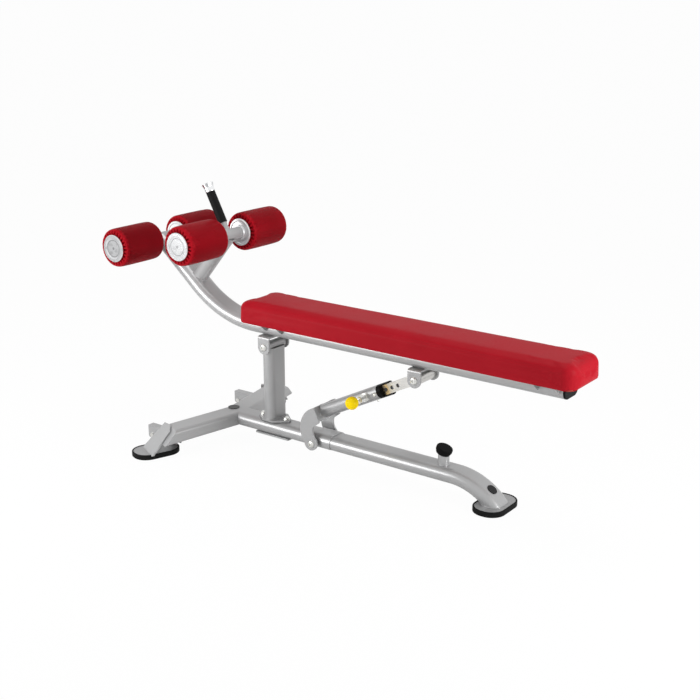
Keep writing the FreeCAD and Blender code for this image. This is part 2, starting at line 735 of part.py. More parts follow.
def make_badges():
    """Plain discs on the V's apex and on the sloping end of the beam."""
    apex = Part.makeCylinder(BADGE_RADIUS, BADGE_THICKNESS,
                             Vector(APEX_X - BADGE_INSET, 0, BEAM_TOP_Z))
    slope = math.radians(REAR_BADGE_SLOPE_DEG)
    radius = BEAM_BEND_RADIUS + TUBE_HEIGHT / 2
    centre = Vector(BEAM_BEND_START_X, 0, BEAM_MID_Z - BEAM_BEND_RADIUS)
    out = Vector(math.sin(slope), 0, math.cos(slope))
    disc = Part.makeCylinder(REAR_BADGE_RADIUS, BADGE_THICKNESS + REAR_BADGE_SINK,
                             centre + out * (radius - REAR_BADGE_SINK), out)
    bend = rod(centre - Y_AXIS * TUBE_WIDTH, centre + Y_AXIS * TUBE_WIDTH, radius)
    return [apex, disc.cut(bend)]


# ---------------------------------------------------------------- seat frame

def seat_tube_path():
    """Start of the bend, its radius and centre, and its far end."""
    rise = math.radians(SEAT_RISE_DEG)
    corner_x = FRONT_BAR_X + (FRONT_BAR_Z - SEAT_TUBE_MID_Z) / math.tan(rise)
    tangent = SEAT_BEND_START_X - corner_x
    radius = tangent / math.tan(rise / 2)
    start = Vector(SEAT_BEND_START_X, 0, SEAT_TUBE_MID_Z)
    centre = start + Z_AXIS * radius
    end = centre + Vector(-math.sin(rise), 0, -math.cos(rise)) * radius
    slope = Vector(-math.cos(rise), 0, math.sin(rise))
    return start, centre, end, slope


def front_bar_centre():
    return Vector(FRONT_BAR_X, 0, FRONT_BAR_Z)


def rear_bar_centre():
    return Vector(REAR_BAR_X, 0, REAR_BAR_Z)


def make_seat_tube():
    start, centre, end, slope = seat_tube_path()
    tail = Vector(SEAT_TUBE_END_X, 0, SEAT_TUBE_MID_Z)
    level, full_level = straight_tube(start, tail, Y_AXIS)
    ring, full = tube_section(frame(start, Y_AXIS, Z_AXIS))
    bend = ring.revolve(centre, Y_AXIS, SEAT_RISE_DEG)
    top = front_bar_centre()
    rise, full_rise = straight_tube(end, top, Y_AXIS)
    tube = level.fuse(bend).fuse(rise).removeSplitter()
    tube = tube.cut(rod(top - Y_AXIS * TUBE_WIDTH, top + Y_AXIS * TUBE_WIDTH, BAR_RADIUS))
    return largest(tube)


def seat_tube_bend_and_rise():
    """Full envelope of the bend and of the straight run above it."""
    start, centre, end, slope = seat_tube_path()
    ring, full = tube_section(frame(start, Y_AXIS, Z_AXIS))
    rise, full_rise = straight_tube(end, front_bar_centre(), Y_AXIS)
    return full.revolve(centre, Y_AXIS, SEAT_RISE_DEG).fuse(full_rise)


def make_end_plug():
    """Moulded plug that closes the open end of the seat tube."""
    start = Vector(SEAT_TUBE_END_X - PLUG_STEM, 0, SEAT_TUBE_MID_Z)
    inner = rounded_rectangle(TUBE_WIDTH - 2 * TUBE_WALL, TUBE_HEIGHT - 2 * TUBE_WALL,
                              TUBE_CORNER - TUBE_WALL)
    stem = plate(inner, PLUG_STEM, frame(start, Y_AXIS, Z_AXIS))
    flange = plate(rounded_rectangle(TUBE_WIDTH, TUBE_HEIGHT, TUBE_CORNER), PLUG_HEAD,
                   frame(start + X_AXIS * PLUG_STEM, Y_AXIS, Z_AXIS))
    edges = [e for e in flange.Edges if e.BoundBox.XMin > SEAT_TUBE_END_X + PLUG_HEAD / 2]
    return stem.fuse(flange.makeFillet(PLUG_ROUND, edges))


def support_axis():
    """Foot of the support tube on the seat tube's centreline, and the rear bar's centre."""
    start, centre, end, slope = seat_tube_path()
    normal = Vector(slope.z, 0, -slope.x)
    top = rear_bar_centre()
    return top - normal * (top - end).dot(normal), top


def make_support_tube():
    base, top = support_axis()
    body = rod(base, top, SUPPORT_RADIUS).cut(rod(base, top, SUPPORT_RADIUS - TUBE_WALL))
    body = body.cut(seat_tube_bend_and_rise())
    body = body.cut(rod(top - Y_AXIS * TUBE_WIDTH, top + Y_AXIS * TUBE_WIDTH, BAR_RADIUS))
    return largest(body)


def make_roller_bar(centre):
    half = ROLLER_OUTER_Y
    outer = rod(centre - Y_AXIS * half, centre + Y_AXIS * half, BAR_RADIUS)
    past = half + PAST
    return outer.cut(rod(centre - Y_AXIS * past, centre + Y_AXIS * past, BAR_RADIUS - BAR_WALL))


def make_inner_disc(centre, side):
    """Flanged collar on the bar, its face towards the roller."""
    r = DISC_RADIUS
    t = DISC_THICKNESS
    low = t - DISC_ROUND
    root, tip = DISC_COLLAR
    profile = [(0, BAR_RADIUS), (0, r - DISC_EDGE), (DISC_EDGE, r), (low, r),
               (t, r - DISC_ROUND), (t, r - DISC_RIM), (low, r - DISC_RIM - DISC_STEP),
               (low, BAR_RADIUS + root), (t + DISC_COLLAR_LENGTH, BAR_RADIUS + tip),
               (t + DISC_COLLAR_LENGTH, BAR_RADIUS)]
    face = centre + Y_AXIS * side * (ROLLER_INNER_Y - SIDE_GAP)
    return turned(profile, face, Vector(0, -side, 0), Z_AXIS)


def make_outer_cap(centre, side):
    """Turned end cap: raised rim, recessed middle and a boss inside the bar."""
    r = DISC_RADIUS
    t = DISC_THICKNESS
    boss = BAR_RADIUS - BAR_WALL
    floor = t - CAP_RECESS
    profile = [(-CAP_BOSS, 0), (-CAP_BOSS, boss - DISC_EDGE), (DISC_EDGE - CAP_BOSS, boss),
               (-SIDE_GAP, boss), (-SIDE_GAP, BAR_RADIUS), (0, BAR_RADIUS), (0, r - DISC_EDGE),
               (DISC_EDGE, r), (t - DISC_ROUND, r), (t, r - DISC_ROUND), (t, r - CAP_RIM),
               (floor, r - CAP_RIM - CAP_STEP), (floor, 0)]
    face = centre + Y_AXIS * side * (ROLLER_OUTER_Y + SIDE_GAP)
    return turned(profile, face, Vector(0, side, 0), Z_AXIS)


def make_hub(centre, side):
    """Plastic tube that turns on the bar and carries the foam roller."""
    inner = BAR_RADIUS + RUNNING_FIT
    start = centre + Y_AXIS * side * ROLLER_INNER_Y
    end = centre + Y_AXIS * side * ROLLER_OUTER_Y
    return rod(start, end, inner + HUB_WALL).cut(rod(start, end, inner))


def make_roller(centre, side):
    """Foam roller with rounded ends."""
    length = ROLLER_OUTER_Y - ROLLER_INNER_Y
    r = ROLLER_RADIUS
    bore = BAR_RADIUS + RUNNING_FIT + HUB_WALL
    edge = ROLLER_EDGE
    profile = [(0, bore), (0, r - edge)]
    profile += [(edge * inward, r - edge * down) for inward, down in ROLLER_EDGE_POINTS]
    profile += [(edge, r)]
    mirrored = [(length - d, radius) for d, radius in reversed(profile)]
    start = centre + Y_AXIS * side * ROLLER_INNER_Y
    return turned(profile + mirrored, start, Vector(0, side, 0), Z_AXIS)


def grip_axis():
    lean = math.radians(GRIP_LEAN_DEG)
    return rear_bar_centre(), Vector(-math.sin(lean), 0, math.cos(lean))


def make_grip_stem():
    base, up = grip_axis()
    stem = rod(base, base + up * GRIP_END, STEM_RADIUS)
    bar = rod(base - Y_AXIS * TUBE_WIDTH, base + Y_AXIS * TUBE_WIDTH, BAR_RADIUS)
    foot, top = support_axis()
    return stem.cut(bar).cut(rod(foot, top, SUPPORT_RADIUS))


def make_grip():
    base, up = grip_axis()
    length = GRIP_END - GRIP_START
    profile = [(0, STEM_RADIUS), (0, GRIP_RADIUS - GRIP_EDGE), (GRIP_EDGE, GRIP_RADIUS),
               (length - GRIP_EDGE, GRIP_RADIUS), (length, GRIP_RADIUS - GRIP_EDGE),
               (length, STEM_RADIUS)]
    return turned(profile, base + up * GRIP_START, up, Y_AXIS)


def make_grip_cap():
    """Flared polished end of the hand grip with a dished top."""
    base, up = grip_axis()
    profile = [(0, 0)] + [(high, GRIP_RADIUS + flare) for high, flare in GRIP_CAP_PROFILE]
    profile += [(GRIP_CAP_PROFILE[-1][0], 0)]
    return turned(profile, base + up * GRIP_END, up, Y_AXIS)


def make_clevis(x, z):
    """Bent U-plate under the seat tube with two rounded ears."""
    half = CLEVIS_HALF + CLEVIS_PLATE
    top = SEAT_TUBE_BOTTOM_Z
    block = Part.makeBox(CLEVIS_WIDTH, 2 * half, top - z, Vector(x - CLEVIS_WIDTH / 2, -half, z))
    block = block.fuse(cross_rod(x, z, CLEVIS_WIDTH / 2, -half, half)).removeSplitter()
    edges = [e for e in block.Edges if e.BoundBox.ZMin > top - 1e-6
             and e.BoundBox.YLength < 1e-6]
    block = block.makeFillet(CLEVIS_PLATE + CLEVIS_ROUND, edges)
    slot_top = top - CLEVIS_PLATE
    slot = Part.makeBox(CLEVIS_WIDTH + 2 * PAST, 2 * CLEVIS_HALF, slot_top - z + CLEVIS_WIDTH,
                        Vector(x - CLEVIS_WIDTH / 2 - PAST, -CLEVIS_HALF, z - CLEVIS_WIDTH))
    edges = [e for e in slot.Edges if e.BoundBox.ZMin > slot_top - 1e-6
             and e.BoundBox.YLength < 1e-6]
    slot = slot.makeFillet(CLEVIS_ROUND, edges)
    bore = cross_rod(x, z, PIVOT_BOLT_RADIUS + BOLT_FIT, -half - PAST, half + PAST)
    return block.cut(slot).cut(bore)


def make_pivot_bolt(x, z):
    half = CLEVIS_HALF + CLEVIS_PLATE
    return button_bolt(x, z, -half, half + BOLT_TAIL, PIVOT_BOLT_RADIUS)


def make_pivot_nut(x, z, half):
    bore = PIVOT_BOLT_RADIUS + RUNNING_FIT
    body = nut(Vector(x, half, z), Y_AXIS, Z_AXIS, NUT_RADIUS, NUT_HEIGHT, bore)
    washer = make_sleeve(x, z, WASHER_RADIUS, WASHER / 2, bore)
    washer.translate(Vector(0, half + WASHER / 2, 0))
    return body.fuse(washer).removeSplitter()


def make_cross_plates():
    """Steel plates across the seat tube that carry the pad board, with end lips."""
    plates = []
    for x in CROSS_PLATE_XS:
        flat = Part.makeBox(CROSS_PLATE_LENGTH, CROSS_PLATE_WIDTH, CROSS_PLATE,
                            Vector(x - CROSS_PLATE_LENGTH / 2, -CROSS_PLATE_WIDTH / 2,
                                   SEAT_TUBE_TOP_Z))
        body = flat
        for side in (-1, 1):
            for end in (-1, 1):
                body = body.fuse(cross_plate_web(x, side, end))
        holes = [Part.makeCylinder(SCREW_HOLE_RADIUS, 2 * CROSS_PLATE,
                                   Vector(hx, hy, SEAT_TUBE_TOP_Z - PAST))
                 for hx, hy in screw_places(x)]
        for hole in holes:
            body = body.cut(hole)
        plates.append(body.removeSplitter())
    return plates


def cross_plate_web(x, side, end):
    """Upright web between a cross plate and the tube's rounded side."""
    x_from = x + end * (CROSS_PLATE_LENGTH - WEB_PLATE) / 2 - WEB_PLATE / 2
    half = TUBE_WIDTH / 2
    wide = CROSS_PLATE_WIDTH / 2 - WEB_INSET
    outline = [(half - TUBE_CORNER, 0), (wide, 0), (wide, -WEB_SHOULDER),
               (half + WEB_FOOT, -WEB_DEPTH), (half - TUBE_CORNER, -WEB_DEPTH)]
    place = frame(Vector(x_from, 0, SEAT_TUBE_TOP_Z), Vector(0, side, 0), Z_AXIS)
    web = plate(polygon(outline), WEB_PLATE * side, place)
    tube = plate(rounded_rectangle(TUBE_WIDTH, TUBE_HEIGHT, TUBE_CORNER), 2 * CROSS_PLATE_LENGTH,
                 frame(Vector(x - CROSS_PLATE_LENGTH, 0, SEAT_TUBE_MID_Z), Y_AXIS, Z_AXIS))
    return largest(web.cut(tube))


def screw_places(x):
    return [(x + sx * SCREW_X, sy * SCREW_Y) for sx in (-1, 1) for sy in (-1, 1)]


def make_pad_screws():
    screws = []
    for x in CROSS_PLATE_XS:
        for sx, sy in screw_places(x):
            shank = Part.makeCylinder(SCREW_RADIUS, CROSS_PLATE + BOARD_THICKNESS * SCREW_REACH,
                                      Vector(sx, sy, SEAT_TUBE_TOP_Z))
            head = turned([(0, 0), *SCREW_HEAD], Vector(sx, sy, SEAT_TUBE_TOP_Z), Z_AXIS * -1,
                          X_AXIS)
            screws.append(shank.fuse(head))
    return screws


def pad_outline(inset):
    length = PAD_END_X - PAD_START_X - 2 * inset
    return rounded_rectangle(length, PAD_WIDTH - 2 * inset, PAD_CORNER - inset)


def pad_place(z):
    return frame(Vector((PAD_START_X + PAD_END_X) / 2, 0, z), X_AXIS, Y_AXIS)


def make_pad_board():
    body = plate(pad_outline(BOARD_INSET), BOARD_THICKNESS, pad_place(PAD_BOTTOM_Z))
    for x in CROSS_PLATE_XS:
        for sx, sy in screw_places(x):
            body = body.cut(Part.makeCylinder(SCREW_RADIUS, BOARD_THICKNESS * SCREW_REACH,
                                              Vector(sx, sy, PAD_BOTTOM_Z)))
    return body


def make_pad_cushion():
    body = plate(pad_outline(0), PAD_THICKNESS, pad_place(PAD_BOTTOM_Z))
    edges = [e for e in body.Edges if abs(e.BoundBox.ZMin - e.BoundBox.ZMax) < 1e-6
             and e.BoundBox.ZMin > PAD_BOTTOM_Z + PAST]
    body = body.makeFillet(PAD_EDGE, edges)
    pocket = plate(pad_outline(BOARD_INSET - SIDE_GAP), BOARD_THICKNESS + SIDE_GAP,
                   pad_place(PAD_BOTTOM_Z))
    return body.cut(pocket)


# ---------------------------------------------------------------- strut

def along(distance, up=0.0, y=0.0):
    """Point at a distance along the strut, raised square to it."""
    return STRUT_FOOT + STRUT_DIR * distance + STRUT_UP * up + Y_AXIS * y


def strut_frame(distance, y):
    """Local X along the strut, local Y square to it and upward."""
    return frame(along(distance, 0, y), STRUT_DIR, STRUT_UP)


def yoke_outline():
    """Banana plate from the lower pivot, round the beam's side, up to the strut tube."""
    pivot = -STRUT_OFFSET
    soft = YOKE_CORNER * (1 - math.sqrt(0.5))
    back_top = Vector(YOKE_REACH, YOKE_TOP, 0)
    left = Vector(YOKE_LEFT[0], pivot + YOKE_LEFT[1], 0)
    bottom = Vector(YOKE_LOW_X, pivot - YOKE_BOSS, 0)
    right = Vector(YOKE_RIGHT[0], pivot + YOKE_RIGHT[1], 0)
    waist = Vector(YOKE_WAIST[0], pivot + YOKE_WAIST[1], 0)
    crook = Vector(YOKE_CROOK[0], -YOKE_BOTTOM - YOKE_CROOK[1], 0)
    corner = Vector(YOKE_REACH - YOKE_CORNER, -YOKE_BOTTOM, 0)
    front = Vector(YOKE_REACH, -YOKE_BOTTOM + YOKE_CORNER, 0)
    return Part.Wire([
        Part.Arc(back_top, Vector(YOKE_BACK[0], YOKE_BACK[1], 0), left).toShape(),
        Part.Arc(left, bottom, right).toShape(),
        Part.Arc(right, waist, crook).toShape(),
        Part.makeLine(crook, corner),
        Part.Arc(corner, Vector(YOKE_REACH - soft, -YOKE_BOTTOM + soft, 0), front).toShape(),
        Part.makeLine(front, back_top)])


def make_yoke():
    """Two banana plates joined by a web that is set back from their ends."""
    plates = []
    for y in (-YOKE_HALF - YOKE_PLATE, YOKE_HALF):
        place = frame(along(0, 0, y + YOKE_PLATE), STRUT_DIR, STRUT_UP)
        plates.append(plate(yoke_outline(), YOKE_PLATE, place))
    low = YOKE_WEB_INSET - YOKE_BOTTOM
    web = Part.makeBox(YOKE_PLATE, YOKE_TOP - low, 2 * YOKE_HALF,
                       Vector(STRUT_TUBE_START - YOKE_PLATE, low, -YOKE_HALF))
    web.Placement = frame(along(0), STRUT_DIR, STRUT_UP)
    yoke = web.fuse(plates[0]).fuse(plates[1])
    yoke = yoke.cut(cross_rod(STRUT_PIVOT_X, STRUT_PIVOT_Z, PIVOT_BOLT_RADIUS + BOLT_FIT,
                              -TUBE_WIDTH, TUBE_WIDTH))
    return yoke.removeSplitter()


def make_strut_bolt():
    half = YOKE_HALF + YOKE_PLATE
    return button_bolt(STRUT_PIVOT_X, STRUT_PIVOT_Z, -half, half + BOLT_TAIL, PIVOT_BOLT_RADIUS)


def make_strut_tube():
    outer = rod(along(STRUT_TUBE_START), along(STRUT_TUBE_END), STRUT_TUBE_RADIUS)
    inner = rod(along(STRUT_TUBE_START - PAST), along(STRUT_TUBE_END + PAST),
                STRUT_TUBE_RADIUS - STRUT_TUBE_WALL)
    hole = rod(along(LOCK_PIN_AT), along(LOCK_PIN_AT, 0, HOUSING_END_Y),
               LOCK_PIN_RADIUS + PIN_CLEARANCE)
    return outer.cut(inner).cut(hole)


def make_guide():
    """Plastic guide in the tube's mouth with a tongue above and below the sliding bar."""
    tongue = GUIDE_LENGTH
    window = STRUT_TUBE_END + GUIDE_COLLAR
    outer = STRUT_TUBE_RADIUS
    bore = STRUT_TUBE_RADIUS - STRUT_TUBE_WALL
    plug = rod(along(STRUT_TUBE_END - GUIDE_PLUG), along(STRUT_TUBE_END), bore)
    collar = rod(along(STRUT_TUBE_END), along(STRUT_TUBE_END + tongue), outer)
    slot_half = BAR_HEIGHT / 2 + SIDE_GAP
    mouth_half = slot_half + MOUTH_CLEARANCE
    mouth = Part.makeBox(2 * tongue, 2 * mouth_half, 2 * BIG, Vector(window, -mouth_half, -BIG))
    mouth.Placement = frame(along(0), STRUT_DIR, STRUT_UP)
    side_cut = Part.makeBox(tongue, 4 * outer, 2 * BIG,
                            Vector(window, -2 * outer, TONGUE_HALF))
    side_cut.Placement = frame(along(0), STRUT_DIR, STRUT_UP)
    other = Part.makeBox(tongue, 4 * outer, BIG,
                         Vector(window, -2 * outer, -TONGUE_HALF - BIG))
    other.Placement = frame(along(0), STRUT_DIR, STRUT_UP)
    channel = Part.makeBox(2 * (tongue + GUIDE_PLUG), 2 * slot_half,
                           BAR_THICKNESS + 2 * SIDE_GAP,
                           Vector(STRUT_TUBE_END - 2 * GUIDE_PLUG, -slot_half,
                                  -BAR_THICKNESS / 2 - SIDE_GAP))
    channel.Placement = frame(along(0), STRUT_DIR, STRUT_UP)
    body = collar.cut(mouth).cut(side_cut).cut(other).fuse(plug).cut(channel)
    return largest(body.removeSplitter())


def make_pin_housing():
    """Threaded boss on the strut tube's side with the spring's pocket inside."""
    r = HOUSING_RADIUS
    end_y = HOUSING_END_Y
    body = rod(along(LOCK_PIN_AT), along(LOCK_PIN_AT, 0, end_y), r)
    collar_y = end_y + HOUSING_LENGTH * HOUSING_COLLAR_SHARE
    collar = rod(along(LOCK_PIN_AT), along(LOCK_PIN_AT, 0, collar_y), r + HOUSING_COLLAR)
    body = body.fuse(collar)
    tube = rod(along(STRUT_TUBE_START), along(STRUT_TUBE_END), STRUT_TUBE_RADIUS)
    pocket = rod(along(LOCK_PIN_AT), along(LOCK_PIN_AT, 0, end_y + HOUSING_WALL),
                 r - HOUSING_WALL)
    mouth = rod(along(LOCK_PIN_AT), along(LOCK_PIN_AT, 0, end_y - PAST),
                PULL_ROD_RADIUS + PIN_CLEARANCE)
    return largest(body.cut(tube).cut(pocket).cut(mouth).removeSplitter())


def make_lock_pin():
    """Pin, collar and pull rod, stored drawn out so that the bar can slide."""
    tip = -BAR_THICKNESS / 2 - PIN_TIP_GAP
    knob = KNOB_Y
    r = LOCK_PIN_RADIUS
    collar_radius = HOUSING_RADIUS - HOUSING_WALL - SIDE_GAP
    seat = HOUSING_END_Y + HOUSING_WALL + 2 * SIDE_GAP + SPRING_LENGTH
    profile = [(0, 0), (0, r - PIN_POINT), (PIN_POINT, r), (tip - seat - PIN_COLLAR, r),
               (tip - seat - PIN_COLLAR, collar_radius), (tip - seat, collar_radius),
               (tip - seat, PULL_ROD_RADIUS), (tip - knob, PULL_ROD_RADIUS), (tip - knob, 0)]
    return turned(profile, along(LOCK_PIN_AT, 0, tip), Vector(0, -1, 0), STRUT_UP)


def make_knob():
    centre = along(LOCK_PIN_AT, 0, KNOB_Y)
    ball = Part.makeSphere(KNOB_RADIUS, centre, Vector(0, 1, 0), -90, 90, 360)
    face = half_space(centre + Y_AXIS * KNOB_RADIUS * KNOB_FLAT, Y_AXIS)
    rod_end = rod(centre, centre + Y_AXIS * 2 * KNOB_RADIUS, PULL_ROD_RADIUS)
    return ball.cut(face).cut(rod_end)


def make_spring():
    """Lock pin spring, drawn pressed together, so that its coils touch."""
    radius = HOUSING_RADIUS - HOUSING_WALL - SPRING_WIRE - SIDE_GAP
    start = HOUSING_END_Y + HOUSING_WALL + SIDE_GAP
    core = radius - SPRING_WIRE * SPRING_CORE
    outer = []
    inner = []
    for i in range(SPRING_COILS):
        low = 2 * SPRING_WIRE * i
        outer += [(low, radius), (low + SPRING_WIRE, radius + SPRING_WIRE)]
        inner += [(low, core), (low + SPRING_WIRE, radius - SPRING_WIRE)]
    profile = outer + [(SPRING_LENGTH, radius), (SPRING_LENGTH, core)]
    profile += list(reversed(inner))
    return turned(profile, along(LOCK_PIN_AT, 0, start), Y_AXIS, STRUT_UP)


def make_strut_bar():
    """Flat sliding bar with the lock holes and the cross sleeve of the upper pivot."""
    start = LOCK_PIN_AT - BAR_TAIL
    bar = Part.makeBox(STRUT_LENGTH - start, BAR_HEIGHT, BAR_THICKNESS,
                       Vector(start, -BAR_HEIGHT / 2, -BAR_THICKNESS / 2))
    bar.Placement = frame(along(0), STRUT_DIR, STRUT_UP)
    for i in range(HOLE_COUNT):
        at = LOCK_PIN_AT + i * HOLE_PITCH
        hole = rod(along(at, 0, -BAR_THICKNESS), along(at, 0, BAR_THICKNESS), LOCK_HOLE_RADIUS)
        bar = bar.cut(hole)
    eye = PIVOT_BOLT_RADIUS + EYE_CLEARANCE
    half = CLEVIS_HALF - SIDE_GAP
    sleeve = cross_rod(REAR_CLEVIS_X, REAR_CLEVIS_Z, eye + EYE_WALL, -half, half)
    bore = cross_rod(REAR_CLEVIS_X, REAR_CLEVIS_Z, eye, -half - PAST, half + PAST)
    return bar.fuse(sleeve).cut(bore).removeSplitter()


# ---------------------------------------------------------------- export

def export(name, shape):
    """Write one sub-part, a solid or a list of solids, to parts/name.step."""
    shapes = shape if isinstance(shape, list) else [shape]
    result = shapes[0] if len(shapes) == 1 else Part.makeCompound(shapes)
    result.exportStep("parts/" + name + ".step")


def main():
    os.makedirs("parts", exist_ok=True)
    legs = {side: leg_solids(side) for side in SIDES.values()}
    export("base_beam", make_base_beam([full for hollow, full in legs.values()]))
    for name, side in SIDES.items():
        hollow, full = legs[side]
        export("leg_" + name, hollow)
        end_plate = make_end_plate(side)
        export("leg_end_plate_" + name, end_plate)
        export("foot_plate_" + name, make_foot_plate(side))
        export("foot_shoe_" + name, make_shoe(side))
        export("wheel_bracket_" + name, make_wheel_bracket(side, full, end_plate))
        export("transport_wheel_" + name, make_wheel(side))
    export("wheel_axles", [make_axle(side) for side in SIDES.values()])
    export("foot_plate_rear", make_foot_plate(0))
    export("foot_shoe_rear", make_shoe(0))
    export("post", make_post())
    export("post_plate", make_post_plate())
    export("post_bolts", make_post_bolts())
    export("post_sleeve", make_sleeve(0, PIVOT_Z, PIVOT_SLEEVE_RADIUS, SLEEVE_HALF, BUSH_RADIUS))
    export("pivot_bushes", make_bush_pair(0, PIVOT_Z, SLEEVE_HALF, BUSH_FLANGE)
           + make_bush_pair(STRUT_PIVOT_X, STRUT_PIVOT_Z, SADDLE_HALF,
                            YOKE_HALF - SADDLE_HALF - SIDE_GAP))
    export("strut_saddle", make_saddle())
    export("bumper_post", make_bumper_post())
    export("bumper_cap", make_bumper_cap())
    export("emblem_discs", make_badges())

    export("seat_tube", make_seat_tube())
    export("seat_tube_plug", make_end_plug())
    export("support_tube", make_support_tube())
    bars = {"front": front_bar_centre(), "rear": rear_bar_centre()}
    discs = []
    caps = []
    for bar, centre in bars.items():
        export("roller_bar_" + bar, make_roller_bar(centre))
        for name, side in SIDES.items():
            discs.append(make_inner_disc(centre, side))
            caps.append(make_outer_cap(centre, side))
            export("roller_hub_" + bar + "_" + name, make_hub(centre, side))
            export("roller_foam_" + bar + "_" + name, make_roller(centre, side))
    export("roller_inner_discs", discs)
    export("roller_end_caps", caps)
    export("grip_stem", make_grip_stem())
    export("grip_sleeve", make_grip())
    export("grip_end_cap", make_grip_cap())
    pivots = {"front": (0.0, PIVOT_Z), "rear": (REAR_CLEVIS_X, REAR_CLEVIS_Z)}
    for name, (x, z) in pivots.items():
        export("clevis_" + name, make_clevis(x, z))
    export("pivot_bolts", [make_pivot_bolt(x, z) for x, z in pivots.values()])
    export("pivot_nuts", [make_pivot_nut(x, z, CLEVIS_HALF + CLEVIS_PLATE)
                          for x, z in pivots.values()])
    export("pad_cross_plates", make_cross_plates())
    export("pad_screws", make_pad_screws())
    export("pad_board", make_pad_board())
    export("pad_cushion", make_pad_cushion())

    export("strut_yoke", make_yoke())
    export("strut_bolt", [make_strut_bolt(),
                          make_pivot_nut(STRUT_PIVOT_X, STRUT_PIVOT_Z, YOKE_HALF + YOKE_PLATE)])
    export("strut_tube", make_strut_tube())
    export("strut_guide", make_guide())
    export("lock_pin_housing", make_pin_housing())
    export("lock_pin", make_lock_pin())
    export("lock_pin_spring", make_spring())
    export("lock_knob", make_knob())
    export("strut_bar", make_strut_bar())


main()
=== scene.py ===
# %% [markdown]
# # An adjustable abdominal bench
# The steel frame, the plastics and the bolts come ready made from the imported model, in metres,
# with +X along the bench, +Z up and the floor at zero. Here they get their real finishes, and
# the soft and small pieces that a solid modeller leaves plain are built round them: the padded
# cushion, the four sewn roller covers, the weld beads and the staples.

# %% Load the frame
import bmesh
import bpy
import json
import math
import random
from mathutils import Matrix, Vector, noise
from mathutils.bvhtree import BVHTree


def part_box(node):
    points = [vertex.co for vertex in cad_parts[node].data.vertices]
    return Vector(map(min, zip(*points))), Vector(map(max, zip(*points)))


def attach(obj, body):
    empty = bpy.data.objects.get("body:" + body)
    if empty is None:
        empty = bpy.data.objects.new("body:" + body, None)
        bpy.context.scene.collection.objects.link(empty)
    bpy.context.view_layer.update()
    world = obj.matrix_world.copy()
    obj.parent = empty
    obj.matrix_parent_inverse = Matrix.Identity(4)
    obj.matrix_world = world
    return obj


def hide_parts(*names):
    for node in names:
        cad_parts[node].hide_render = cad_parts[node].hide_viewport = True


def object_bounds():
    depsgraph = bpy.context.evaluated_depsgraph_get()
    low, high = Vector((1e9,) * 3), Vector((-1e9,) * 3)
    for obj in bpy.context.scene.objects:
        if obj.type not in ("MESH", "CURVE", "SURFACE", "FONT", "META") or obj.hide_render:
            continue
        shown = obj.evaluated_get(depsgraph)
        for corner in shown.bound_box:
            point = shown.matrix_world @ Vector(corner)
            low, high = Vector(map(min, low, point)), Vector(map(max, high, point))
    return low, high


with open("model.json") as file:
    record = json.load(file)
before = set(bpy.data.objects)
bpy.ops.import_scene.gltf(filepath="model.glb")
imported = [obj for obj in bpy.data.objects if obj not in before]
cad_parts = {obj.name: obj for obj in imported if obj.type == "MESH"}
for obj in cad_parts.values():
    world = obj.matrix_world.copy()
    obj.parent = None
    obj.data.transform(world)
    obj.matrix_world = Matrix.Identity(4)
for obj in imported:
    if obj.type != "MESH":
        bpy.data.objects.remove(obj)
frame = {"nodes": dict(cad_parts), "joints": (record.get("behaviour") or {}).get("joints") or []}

cad_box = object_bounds()
nodes = frame["nodes"]
MM = 0.001
UP = Vector((0, 0, 1))

# %% [markdown]
# ## Camera
# A long lens from a few steps away keeps the bench's long lines nearly parallel. The other
# choice is an orthographic camera, but then the far rollers would look as large as the near
# ones. The camera stands on the right-hand side, well beyond the pad's free end, and looks
# down a little.

# %% Camera
CAMERA_PLACE = (2.6307, -3.1032, 1.6112)
CAMERA_TILT = math.radians(72.917)
CAMERA_HEADING = math.radians(36.454)
bpy.ops.object.camera_add(location=CAMERA_PLACE, rotation=(CAMERA_TILT, 0, CAMERA_HEADING))
camera = bpy.context.object
camera.data.sensor_width = 36.0
camera.data.lens = 61.095
bpy.context.scene.camera = camera
bpy.context.scene.view_settings.view_transform = "Standard"
print("camera at", [round(v, 2) for v in camera.location])

# %% [markdown]
# ## Shader maths
# A finish is a small graph of nodes. Wiring them one call at a time hides the idea, so a class
# wraps an output socket and lets it be added, multiplied and compared like a number; the graph
# then reads as the formula it is. One method makes every other node, from its type, its
# settings and what goes into its sockets.


# %% Sockets as numbers
class Value:
    """An output socket that does arithmetic by adding Math nodes."""

    def __init__(self, finish, socket):
        self.finish = finish
        self.socket = socket

    def math(self, operation, *values):
        return self.finish.add("Math", {"operation": operation}, dict(enumerate(values)))

    def __add__(self, other):
        return self.math("ADD", self, other)

    def __mul__(self, other):
        return self.math("MULTIPLY", self, other)

    def __sub__(self, other):
        return self.math("SUBTRACT", self, other)

    def __rsub__(self, other):
        return self.math("SUBTRACT", other, self)

    def __gt__(self, other):
        return self.math("GREATER_THAN", self, other)

    def __lt__(self, other):
        return self.math("LESS_THAN", self, other)

    def __pow__(self, other):
        return self.math("POWER", self, other)

    __radd__ = __add__
    __rmul__ = __mul__

    def sine(self):
        return self.math("SINE", self)

    def least(self, other):
        return self.math("MINIMUM", self, other)

    def most(self, other):
        return self.math("MAXIMUM", self, other)

    def ramp(self, start, end):
        """0 at the start, 1 at the end, smooth between them and held beyond them."""
        return self.finish.add("MapRange", {"interpolation_type": "SMOOTHSTEP"},
                               {0: self, 1: start, 2: end, 3: 0.0, 4: 1.0})


